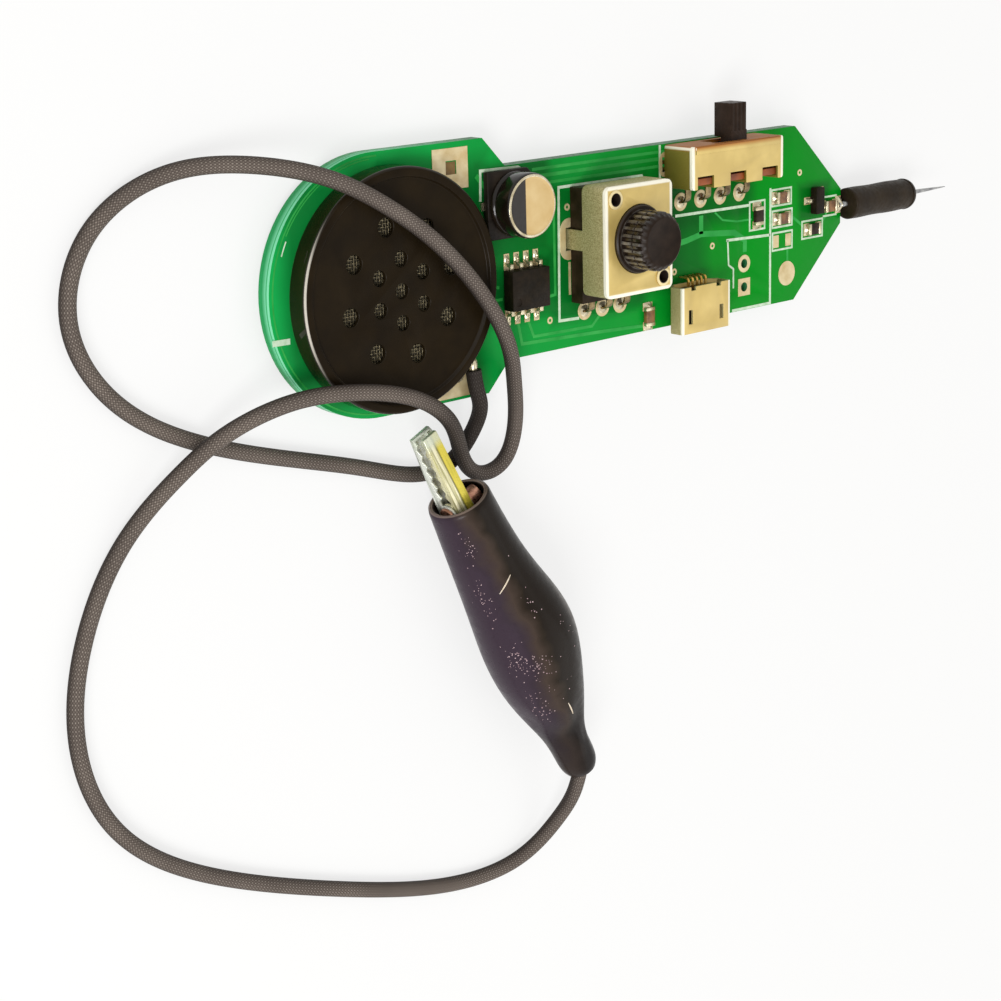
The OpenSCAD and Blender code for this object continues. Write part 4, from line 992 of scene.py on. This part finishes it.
class MakeClip(bpy.types.Operator):
    bl_idname = "detector.make_clip"
    bl_label = "Clip and boot"

    def execute(self, context):
        lead, boot = settings("lead"), settings("boot")
        skin = self.boot(boot.belly / MM)
        white = jaw_finish("jaw_white_plating", boot.jaw_white, "#9fa69a")
        yellow = jaw_finish("jaw_gilding", boot.jaw_yellow, "#8f8a22", "#efe9c4")
        lower = dressed("clip_lower_jaw", white, 0.07)
        upper = dressed("clip_upper_jaw", yellow, 0.07, body="upper_jaw")
        copper = metal_finish("copper_pin", "#d9a78c", "#94604a", 900.0, (0.25, 0.5), 0.05)
        pin = dressed("clip_pivot", copper, 0.08)
        specks = self.marks(boot.belly / MM)
        keep(metal_finish("spring_wire", "#8c8880", "#4c4a46"), "clip_spring")
        keep(dark_finish("lead_core", "#5d544e", "#37312d", 900.0), "lead_end")
        return {"FINISHED"}

    def profile(self, belly):
        """Outer radius at distances from the mouth."""
        return spline([(0, 3.15), (4, 3.4), (10, 3.9), (15.5, belly - 0.2), (19, belly), (23, belly - 0.4),
                       (27, belly - 1.35), (30, 2.55), (32.5, 2.15), (BOOT_L - 0.9, 2.1), (BOOT_L, 1.6)], 8)

    def give(self, s, a):
        """How a soft boot departs from a turned one: the belly hangs over to one side as a bell along
        the boot times the cosine of the angle, with a few shallow hollows, most of them at the neck,
        and creases in the neck."""
        side = np.cos(a - BOOT_FRONT - math.pi / 2)
        total = np.exp(-((s - 16.5) / 6.5) ** 2) * (0.85 * np.clip(side, 0, 1) + 0.4 * np.clip(side, -1, 0))
        # Distance from the mouth, angle, length, width and depth of each hollow
        hollows = [(29.6, 0.9, 1.9, 0.4, 0.34), (28.2, 1.75, 2.2, 0.3, 0.3), (31.0, 2.6, 2.4, 0.5, 0.25),
                   (26.6, 0.2, 2.6, 0.4, 0.2), (10.0, 0.6, 4.5, 0.6, 0.08), (23.0, 3.6, 3.0, 0.6, 0.12)]
        for at, angle, length, width, depth in hollows:
            turn = np.angle(np.exp(1j * (a - angle)))
            total = total - depth * np.exp(-((s - at) / length) ** 2 - (turn / width) ** 2)
        crease = np.exp(-((s - 30.2) / 2.4) ** 2) * 0.06 * np.sin(9 * a + 0.6 * s)
        return total + crease * np.clip(np.cos(a - 1.2), 0, 1)

    def boot(self, belly):
        """The outer profile, rolled in at the mouth, and the hollow behind it, turned about the clip's
        axis; the outside's radius is changed by what the soft wall gives."""
        wall, hollow_end, neck_end = 0.6, BOOT_L - 6, BOOT_L - 4.9
        outer = self.profile(belly)
        inside = outer[outer[:, 0] < hollow_end][1:][::-1] - [0, wall]
        mouth = [(0.14, outer[0, 1] - wall + 0.06), (0, outer[0, 1] - wall / 2), (0.12, outer[0, 1] - 0.07)]
        bore = LOW + 0.03
        loop = np.vstack([[(neck_end, bore)], inside, mouth, outer[1:], [(BOOT_L, bore)]])
        skin = np.zeros(len(loop))
        skin[1 + len(inside) + len(mouth):-1] = 1
        a = np.linspace(0, 2 * math.pi, 113)[None]
        s, r = loop[:, :1], loop[:, 1:]
        r = r + skin[:, None] * self.give(s, a)
        placed = on_clip(np.stack([-s + 0 * a, r * np.cos(a), r * np.sin(a)], -1))
        block = surface(placed, wrap_rows=True)
        return piece("clip_boot_skin", block, [boot_finish()], "board", ["clip_boot"], 50)

    def on_boot(self, belly, s, a, lift):
        """Places on the boot's outside at distances and angles."""
        outer = self.profile(belly)
        r = np.interp(s, outer[:, 0], outer[:, 1]) + self.give(s, a) + lift
        return on_clip(np.stack([-s, r * np.cos(a), r * np.sin(a)], -1))

    def marks(self, belly):
        """Two pale nicks, thin tubes along the boot's surface, and clusters of specks, each a small
        low stud; in a cluster they are scattered by a normal law."""
        nicks = [((9.6, 0.98), (8.3, 1.44)), ((25.1, 1.42), (27.1, 1.5))]
        t = np.linspace(0, 1, 9)
        blocks = []
        for (s0, a0), (s1, a1) in nicks:
            line = self.on_boot(belly, s0 + (s1 - s0) * t, a0 + (a1 - a0) * t, 0.0)
            points, _ = tube(line, 0.08 * MM * np.sin(np.clip(t, 0.08, 0.92) * math.pi) ** 0.5, 8)
            blocks.append(surface(points))
        nick = finish("nick", cloudy("#f8ecd8", "#d9c4a8", 2000.0, (0.4, 0.6), 0.01))
        piece("boot_nicks", join(blocks), [nick], "board")
        chance = np.random.default_rng(7)
        # Distance from the mouth, angle, spread along and round, and number of specks
        clusters = [(4.2, 0.72, 1.2, 0.1, 26), (10, 0.5, 1.6, 0.14, 40), (12.2, 1.55, 0.9, 0.09, 14),
                    (17.6, 0.75, 1.1, 0.16, 60), (19.0, 1.15, 0.9, 0.17, 48), (24.0, 0.78, 1.3, 0.16, 40),
                    (17.1, 2.0, 1.2, 0.06, 9), (6.6, 1.66, 0.05, 0.01, 1), (22.2, 1.4, 1.6, 0.2, 10)]
        s = np.concatenate([chance.normal(at, spread, count) for at, _, spread, _, count in clusters])
        a = np.concatenate([chance.normal(turn, wide, count) for _, turn, _, wide, count in clusters])
        size = chance.uniform(0.05, 0.1, len(s))
        block = studs(self.on_boot(belly, s, a, -0.02), on_clip_direction(np.cos(a), np.sin(a)), size * MM)
        speck = finish("speck", cloudy(settings("boot").speck, "#8c6a72", 3000.0, (0.4, 0.6), 0.01))
        return piece("boot_specks", block, [speck], "board")


class MakeBoard(bpy.types.Operator):
    """Rounds the board's edges, and lays its tinned lands, its copper tracks under the mask and the
    printed outlines"""
    bl_idname = "detector.make_board"
    bl_label = "Board"

    def execute(self, context):
        height = settings("board").ink_t / MM
        dressed("board", mask_finish(), 0.12)
        dressed("lands", land_finish(), 0.015, segments=1)
        self.tracks(height)
        self.ink(height)
        self.open_line()
        self.window()
        return {"FINISHED"}

    def arc(self, centre, radius, start, end, count=40):
        """Points round a circle between two angles in degrees."""
        a = np.radians(np.linspace(start, end, count))
        return np.stack([centre[0] + radius * np.cos(a), centre[1] + radius * np.sin(a)], -1)

    def box_line(self, low_x, low_y, high_x, high_y):
        """The corners of a rectangle."""
        return [(low_x, low_y), (high_x, low_y), (high_x, high_y), (low_x, high_y)]

    def tracks(self, height):
        """Copper tracks under the mask, as low strips."""
        lines = [
            ([(17.3, -5.9), (17.8, -8.2), (28.5, -8.6), (36.2, -9.0)], 0.34),
            ([(18.65, -5.9), (19.4, -7.7), (27.4, -7.85), (28.7, -6.7)], 0.3),
            ([(19.6, 8.75), (38.2, 8.75)], 0.3),
            ([(19.6, 8.05), (38.2, 8.05)], 0.36),
            ([(20.6, 7.3), (38.2, 7.3)], 0.3),
            ([(43.5, 1.5), (43.5, -0.45)], 0.62),
            ([(36.9, -1.35), (41.4, -0.85), (43.5, -0.45), (48.6, -0.9), (50.3, -1.9), (50.3, -3.2)], 0.62),
            ([(45.6, 1.6), (46.8, 0.65), (49, 0.25), (51.4, 0.2)], 0.2),
            ([(58, -0.3), (59.3, -1.2), (60.4, -1.9)], 0.3),
            ([(62.3, -2), (63.6, -0.8), (63.6, 0.1)], 0.3),
            ([(57.2, -5.1), (57.2, -3.3)], 0.3),
            ([(12.4, 8.9), (14.4, 6.7)], 0.5),
            ([(13.4, -3.4), (15.4, -3.4)], 0.3),
            ([(13.2, -2.0), (15, -2.2)], 0.3),
            ([(20.6, -4.1), (22.4, -3.9), (22.4, 5.9)], 0.3),
        ]
        blocks = [ribbon(line, width, -0.02, height * 0.6) for line, width in lines]
        blocks.append(ribbon(self.arc((0, 0), 12.0, 88, 268, 90), 0.16, -0.02, height * 0.6))
        blocks.append(ribbon(self.arc((0, 0), 11.75, 92, 150, 40), 0.12, -0.02, height * 0.6))
        laid("board_tracks", blocks, track_finish())

    def ink(self, height):
        """Printed outlines, as thin strips on the mask."""
        thin, wide = 0.21, 0.29
        lines = [
            ([(12.85, 6.4), (12.95, 9.3), (17.8, 9.2), (18.85, 8.6)], wide),
            ([(25.6, -6.75), (22.9, -6.65), (23.1, 6.65), (34.7, 6.6), (35.0, 6.15)], wide),
            ([(37.35, 9.45), (37.35, 4.6)], wide),
            ([(39.6, 1.9), (50.9, 1.75)], wide),
            ([(47.4, -1.6), (54.35, -1.85)], wide),
            ([(47.6, -1.6), (47.75, -4.3), (48.5, -4.8), (48.5, -6.9)], thin),
            ([(48.3, -9.32), (54.4, -9.32), (54.35, 3.2)], wide),
            ([(63.1, -0.85), (65.3, -0.85), (65.3, 1.25), (63.1, 1.25)], thin),
        ]
        boxes = [(51.05, -1.0, 53.45, 2.05), (54.6, 1.2, 57.75, 2.95), (54.7, -1.15, 57.9, 0.65),
                 (54.75, -3.65, 57.95, -1.75), (59.6, -2.95, 63, -1.05)]
        blocks = [ribbon(line, width, 0, height) for line, width in lines]
        blocks += [ribbon(self.box_line(*box), thin, 0, height, closed=True) for box in boxes]
        blocks.append(ribbon([(-12.25, -3.55), (-10.3, -3.6)], 0.55, 0, height))
        blocks.append(ribbon(self.arc((0, 0), 11.55, 152, 159, 8), 0.12, 0, height))
        laid("board_print", blocks, ink_finish())

    def window(self):
        """The bare laminate in the window of the upper earth pad."""
        y, half = 9.9, 0.65
        line = [(EARTH_PAD_X - half, y), (EARTH_PAD_X + half, y)]
        bare = finish("bare_laminate", cloudy("#8a6a34", "#5f4620", 900.0, (0.5, 0.7), 0.02))
        laid("pad_window", [ribbon(line, 2 * half, -0.02, 0.012)], bare)

    def open_line(self):
        """A bare tinned track that runs down from the level control's left land, and five small vias."""
        vias = [(21.6, -6.4), (39.4, -3.9), (45.2, -1.9), (59.1, 4.4), (24.2, 4.6)]
        blocks = [ribbon([(24.4, -0.9), (24.4, -4.2)], 0.28, 0, LAND_T * 0.8)]
        for at in vias:
            blocks.append(ribbon(self.arc(at, 0.26, 0, 340, 18), 0.2, 0, LAND_T * 0.8, closed=True))
        laid("bare_track", blocks, land_finish())


class MakeSpeaker(bpy.types.Operator):
    """Rounds the speaker case, weaves the mesh behind its sound holes and finishes what is inside"""
    bl_idname = "detector.make_speaker"
    bl_label = "Speaker"

    def execute(self, context):
        dressed("speaker_case", moulding_finish(), 0.1, segments=3)
        self.mesh()
        keep(dark_finish("cone_film", "#4a463c", "#2b2822", 500.0), "speaker_cone")
        keep(metal_finish("copper_wire", "#b06a3c", "#703c1e", 3000.0), "speaker_coil")
        keep(metal_finish("magnet_plating", "#b9b6ae", "#8b8880"), "speaker_magnet", "speaker_yoke")
        keep(dark_finish("speaker_base_board", "#2c2418", "#1c1710"), "speaker_base")
        keep(solder_finish(), "speaker_pins")
        return {"FINISHED"}

    def mesh(self):
        """Woven wire: each wire is a thin tube along a wave, z = a cos(pi t / pitch), neighbours take
        opposite waves, and so do crossing wires."""
        low, high = (np.array(corner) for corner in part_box("speaker_mesh"))
        centre, reach = (low + high) / 2, (high[0] - low[0]) / 2
        pitch, wire, swing = 0.32 * MM, 0.055 * MM, 0.03 * MM
        count = int(reach / pitch)
        blocks = []
        for i in range(-count, count + 1):
            half = math.sqrt(max(reach ** 2 - (i * pitch) ** 2, (2 * pitch) ** 2)) - 0.1 * MM
            t = np.arange(-half, half, pitch / 4)
            wave = swing * np.cos(math.pi * t / pitch) * (-1) ** i
            for line in ((t, 0 * t + i * pitch, wave), (0 * t + i * pitch, t, -wave)):
                points, _ = tube(np.stack(line, -1) + centre, wire, 5)
                blocks.append(surface(points))
        # the wire's light spots are painted glints, and its dark colour is painted shade behind the sound
        # holes
        wire_finish = metal_finish("mesh_wire", "#8f8468", "#2c2519", 3200.0, (0.2, 0.45))
        piece("speaker_gauze", join(blocks), [wire_finish], "board", ["speaker_mesh"], 60)


class MakeLevelControl(bpy.types.Operator):
    """Makes the knurled shaft, and rounds and finishes the level control's cover, rivets, base and pins"""
    bl_idname = "detector.make_level_control"
    bl_label = "Level control"

    def execute(self, context):
        sheet = sheet_finish("pot_sheet", "pot_cover", 5.4)
        dressed("pot_cover", sheet, 0.05)
        dressed("pot_rivets", rivet_finish(), 0.06)
        dressed("pot_base", dark_finish("brown_moulding", "#34281a", "#1f170d"), 0.08)
        dressed("pot_pins", pin_finish(), 0.04)
        keep(dark_finish("carbon_track", "#24211e", "#141210"), "pot_track")
        keep(gold_finish(), "pot_wiper")
        self.shaft()
        return {"FINISHED"}

    def shaft(self):
        """Turned profile whose radius drops by the groove's depth between ridges: the ridge is a
        rounded square wave of the angle, and a ring groove halves the knurling."""
        (_, _, foot), (_, _, top) = board_box("pot_shaft")
        ridges, groove, knurl_z = 24, 0.22, 5.75
        # Height, radius and share of the groove's depth
        rows = [
            (foot, 0, 0), (foot, 1.2, 0), (2.2, 1.2, 0), (2.2, 3.7, 0), (5.04, 3.7, 0), (5.04, 3.4, 0),
            (5.6, 3.4, 0), (knurl_z, 3.28, 0), (knurl_z, KNURL_R - 0.05, 0), (knurl_z + 0.08, KNURL_R, 1),
            (7.1, KNURL_R, 1), (7.16, KNURL_R - 0.12, 0.5), (7.26, KNURL_R - 0.12, 0.5), (7.32, KNURL_R, 1),
            (top - 0.62, KNURL_R, 1), (top - 0.4, KNURL_R - 0.14, 0.6), (top - 0.12, KNURL_R - 0.42, 0),
            (top, KNURL_R - 0.6, 0), (top, KNURL_R - 0.75, 0), (top - 0.05, KNURL_R - 0.85, 0),
            (top - 0.05, 0, 0),
        ]
        z, r, cut = np.array(rows, float).T[:, :, None]
        a = np.linspace(0, 2 * math.pi, ridges * 12 + 1)[None]
        wave = np.clip(2.2 * np.cos(ridges * a), -1, 1)
        r = r - cut * groove * (0.5 - 0.5 * wave)
        points = np.stack([r * np.cos(a) + POT_XY[0], r * np.sin(a) + POT_XY[1], z + 0 * a], -1)
        block = surface(on_board(points))
        piece("pot_shaft_skin", block, [shaft_finish()], "control", ["pot_shaft"], 30)


class MakeSwitch(bpy.types.Operator):
    """Rounds and finishes the slide switch's shell, plate, knob and pins"""
    bl_idname = "detector.make_switch"
    bl_label = "Slide switch"

    def execute(self, context):
        # the shell's olive side colour is painted shade
        sheet = sheet_finish("switch_sheet", "switch_shell", 4, ends_only=True, side="#7c711f", back_y=9.2)
        dressed("switch_shell", sheet, 0.05)
        plate = finish("switch_plate", cloudy(settings("parts").plate, "#6d3413", 700.0, (0.45, 0.6), 0.02))
        dressed("switch_base", plate, 0.05)
        knob = dark_finish("knob_plastic", "#36281f", "#241911", 700.0, (0.32, 0.5), 0.02, 0.1)
        dressed("switch_slider", knob, 0.05, body="slider")
        dressed("switch_pins", pin_finish(), 0.04)
        keep(gold_finish(), "switch_wiper")
        return {"FINISHED"}


class MakeSocket(bpy.types.Operator):
    """Rounds and finishes the charging socket"""
    bl_idname = "detector.make_socket"
    bl_label = "Charging socket"

    def execute(self, context):
        sheet = sheet_finish("socket_sheet", "usb_shell", 2.65, 0.26, ends_only=True)
        dressed("usb_shell", sheet, 0.05)
        dressed("usb_insert", dark_finish("socket_insert", "#2b2520", "#191512"), 0.04)
        keep(gold_finish(), "usb_contacts")
        return {"FINISHED"}


class MakeSmallParts(bpy.types.Operator):
    """Makes the electrolytic capacitor and finishes the amplifier, the transistor and the chips"""
    bl_idname = "detector.make_small_parts"
    bl_label = "Small parts"

    def execute(self, context):
        self.can()
        foot = dark_finish("can_foot_plastic", "#2a231c", "#17120e", 700.0)
        dressed("can_foot", foot, 0.12)
        keep(solder_finish(), "can_tabs")
        epoxy = dark_finish("chip_epoxy", "#241c12", "#16110a", 1400.0, (0.45, 0.65), 0.02, 0.12)
        dressed("amp_body", epoxy, 0.14, segments=3)
        dressed("transistor_body", epoxy, 0.1)
        dressed("amp_leads", solder_finish(), 0.03)
        dressed("transistor_leads", solder_finish(), 0.025)
        glaze = dark_finish("resistor_glaze", "#3a2d24", "#1f1813", 1500.0)
        dressed("resistor_chips", glaze, 0.05)
        ceramic = finish("chip_ceramic", cloudy("#9a6d42", "#5c3c22", 1500.0, (0.35, 0.55), 0.02))
        dressed("capacitor_chips", ceramic, 0.05)
        dressed("chip_ends", solder_finish(), 0.07)
        return {"FINISHED"}

    def can(self):
        """Turned profile: rolled foot, crimp groove, straight wall, rolled shoulder and a sunken top; the
        top's rows take the printed finish."""
        (low_x, _, z0), (high_x, _, z1) = board_box("can_body")
        r = (high_x - low_x) / 2
        profile = [(z0, 0), (z0, r - 0.25), (z0 + 0.05, r - 0.08), (z0 + 0.2, r), (z0 + 0.38, r - 0.04),
                   (z0 + 0.55, r - 0.24), (z0 + 0.72, r - 0.24), (z0 + 0.88, r - 0.04), (z0 + 1.0, r),
                   (z1 - 0.4, r), (z1 - 0.2, r - 0.04), (z1 - 0.07, r - 0.13), (z1, r - 0.26),
                   (z1 - 0.01, r - 0.36), (z1 - 0.07, r - 0.44), (z1 - 0.07, r - 0.6), (z1 - 0.07, 0)]
        points = turned(profile, 72) + [CAN_XY[0], CAN_XY[1], 0]
        kinds = np.zeros(len(profile) - 1, int)
        kinds[11:13] = 1
        kinds[13:] = 2
        wall = dark_finish("can_sleeve", "#221a13", "#130e0a", 400.0, (0.12, 0.2), 0.02, 0.3)
        rim = metal_finish("can_rim", "#e6dcc0", "#a89a78", 700.0, (0.2, 0.35), 0.01, 0.5)
        block = surface(on_board(points), kinds=kinds)
        piece("can_body_skin", block, [wall, rim, can_top_finish()], "board", ["can_body"], 45)


class MakeSolder(bpy.types.Operator):
    """Lays mounds of solder at the chips' ends, the legs and the pins, and finishes the joints below"""
    bl_idname = "detector.make_solder"
    bl_label = "Solder"

    def execute(self, context):
        chip_end, amp_pitch, amp_row, pot_pitch, pot_row, switch_pitch = 1.08, 1.27, 2.95, 2.5, 7.5, 3
        blocks = []
        for x, y, turn in CHIPS:
            c, s = math.cos(math.radians(turn)), math.sin(math.radians(turn))
            for end in (-chip_end, chip_end):
                half = (0.4, 0.62) if turn == 0 else (0.62, 0.4)
                blocks.append(lump((x + end * c, y + end * s), half, 0.4, 1.3, 4))
        for i in range(4):
            for side in (-1, 1):
                at = (AMP_XY[0] + (i - 1.5) * amp_pitch, AMP_XY[1] + side * amp_row)
                blocks.append(lump(at, (0.3, 0.5), 0.34, 1.2, 3))
        for x, y in ((-1.2, 0), (1.2, 0.95), (1.2, -0.95)):
            blocks.append(lump((TRANSISTOR_XY[0] + x, TRANSISTOR_XY[1] + y), (0.4, 0.34), 0.24, 1.2, 3))
        blocks.append(lump((EARTH_PAD_X, -9.85), (1.0, 0.85), 0.5, 1.0, 2.4))
        pins = [(POT_XY[0] + i * pot_pitch, POT_XY[1] - pot_row) for i in (-1, 0, 1)]
        pins += [(SWITCH_PINS_XY[0] + i * switch_pitch, SWITCH_PINS_XY[1]) for i in (-1.5, -0.5, 0.5, 1.5)]
        blocks += [lump(at, (0.62, 0.62), 0.34, 1.2, 2.2) for at in pins]
        laid("solder_mounds", blocks, solder_finish())
        needle = lump((65.6, PROBE_Y), (0.5, 0.92), 0.78, 0.8, 2.6)
        laid("probe_joint_skin", [needle], solder_finish(), ["probe_joint"])
        dressed("lead_joint", solder_finish(), 0.03)
        dressed("solder_joints", solder_finish(), 0.06)
        return {"FINISHED"}


class MakeProbe(bpy.types.Operator):
    """Makes the probe's rubber sleeve and its steel needle"""
    bl_idname = "detector.make_probe"
    bl_label = "Probe"

    def execute(self, context):
        self.sleeve()
        self.needle()
        return {"FINISHED"}

    def size(self, node):
        """Length and radius of a round node that lies along x."""
        low, high = board_box(node)
        return high[0] - low[0], (high[2] - low[2]) / 2

    def turned_piece(self, node, profile, sides, material, slot, angle):
        """A profile turned about z and laid along the axis of the node that it replaces."""
        low, high = board_box(node)
        axis = [low[0], *(low + high)[1:] / 2]
        block = surface(on_board(turned(profile, sides)[..., [2, 0, 1]] + axis))
        piece(node + "_skin", block, [material], "board", [node], angle)

    def sleeve(self):
        """Turned profile with a softly rounded nose and a cut back end; the wall swells and shrinks a
        little along its length."""
        length, r = self.size("probe_sleeve")
        nose = np.linspace(0, math.pi / 2, 9)
        wall = np.linspace(0.35, length - 1.0, 30)
        profile = np.vstack([
            [(0, 0.31), (0, r - 0.2), (0.06, r - 0.08), (0.18, r - 0.02)],
            np.column_stack([wall, r - 0.03 + 0.03 * np.sin(wall * 1.1)]),
            np.column_stack([length - 1.0 + 1.0 * np.sin(nose), r - 1.0 + 1.0 * np.cos(nose)]),
            [(length, 0.31), (0, 0.31)],
        ])
        rubber = dark_finish("sleeve_rubber", "#302619", "#20180f", 420.0, (0.4, 0.58), 0.03, 0.14)
        self.turned_piece("probe_sleeve", profile, 56, rubber, "sleeve", 50)

    def needle(self):
        """Turned profile: a shank and a long taper to a fine point."""
        length, r = self.size("probe_needle")
        taper_l = 8.0
        taper = np.linspace(0, 1, 12)[1:]
        start = length - taper_l
        profile = np.vstack([
            [(0, 0), (0, r - 0.05), (0.05, r), (start, r)],
            np.column_stack([start + taper * taper_l, r * (1 - taper) ** 0.8 + 0.035]),
            [(length, 0)],
        ])
        steel = metal_finish("needle_steel", "#b5b5b2", "#77777a", 1500.0, (0.15, 0.3), 0.005, 0.9)
        self.turned_piece("probe_needle", profile, 20, steel, "needle", 45)


class DetectorPanel(bpy.types.Panel):
    """The detector's pieces, one button each, and their settings"""
    bl_idname = "VIEW3D_PT_detector"
    bl_label = "Signal detector"
    bl_space_type = "VIEW_3D"
    bl_region_type = "UI"
    bl_category = "Detector"

    def draw(self, context):
        for operator in OPERATORS:
            self.layout.operator(operator.bl_idname)
        for name, group in SETTINGS.items():
            box = self.layout.box()
            for field in group.__annotations__:
                box.prop(getattr(context.scene, name), field)


SETTINGS = {
    "detector_stage": StageSettings,
    "detector_lead": LeadSettings,
    "detector_boot": BootSettings,
    "detector_board": BoardSettings,
    "detector_parts": PartSettings,
}
OPERATORS = [
    MakeStage, MakeLead, MakeClip, MakeBoard, MakeSpeaker, MakeLevelControl, MakeSwitch, MakeSocket,
    MakeSmallParts, MakeSolder, MakeProbe,
]


def register():
    """Registers the settings, the operators and the panel."""
    for group in (*SETTINGS.values(), *OPERATORS, DetectorPanel):
        bpy.utils.register_class(group)
    for name, group in SETTINGS.items():
        setattr(bpy.types.Scene, name, PointerProperty(type=group))


def unregister():
    """Takes them out again."""
    for name in SETTINGS:
        delattr(bpy.types.Scene, name)
    for group in (DetectorPanel, *reversed(OPERATORS), *reversed(SETTINGS.values())):
        bpy.utils.unregister_class(group)


def main():
    """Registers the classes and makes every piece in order."""
    register()
    bpy.ops.detector.make_stage()
    bpy.ops.detector.make_lead()
    bpy.ops.detector.make_clip()
    bpy.ops.detector.make_board()
    bpy.ops.detector.make_speaker()
    bpy.ops.detector.make_level_control()
    bpy.ops.detector.make_switch()
    bpy.ops.detector.make_socket()
    bpy.ops.detector.make_small_parts()
    bpy.ops.detector.make_solder()
    bpy.ops.detector.make_probe()


if __name__ == "__main__":
    main()
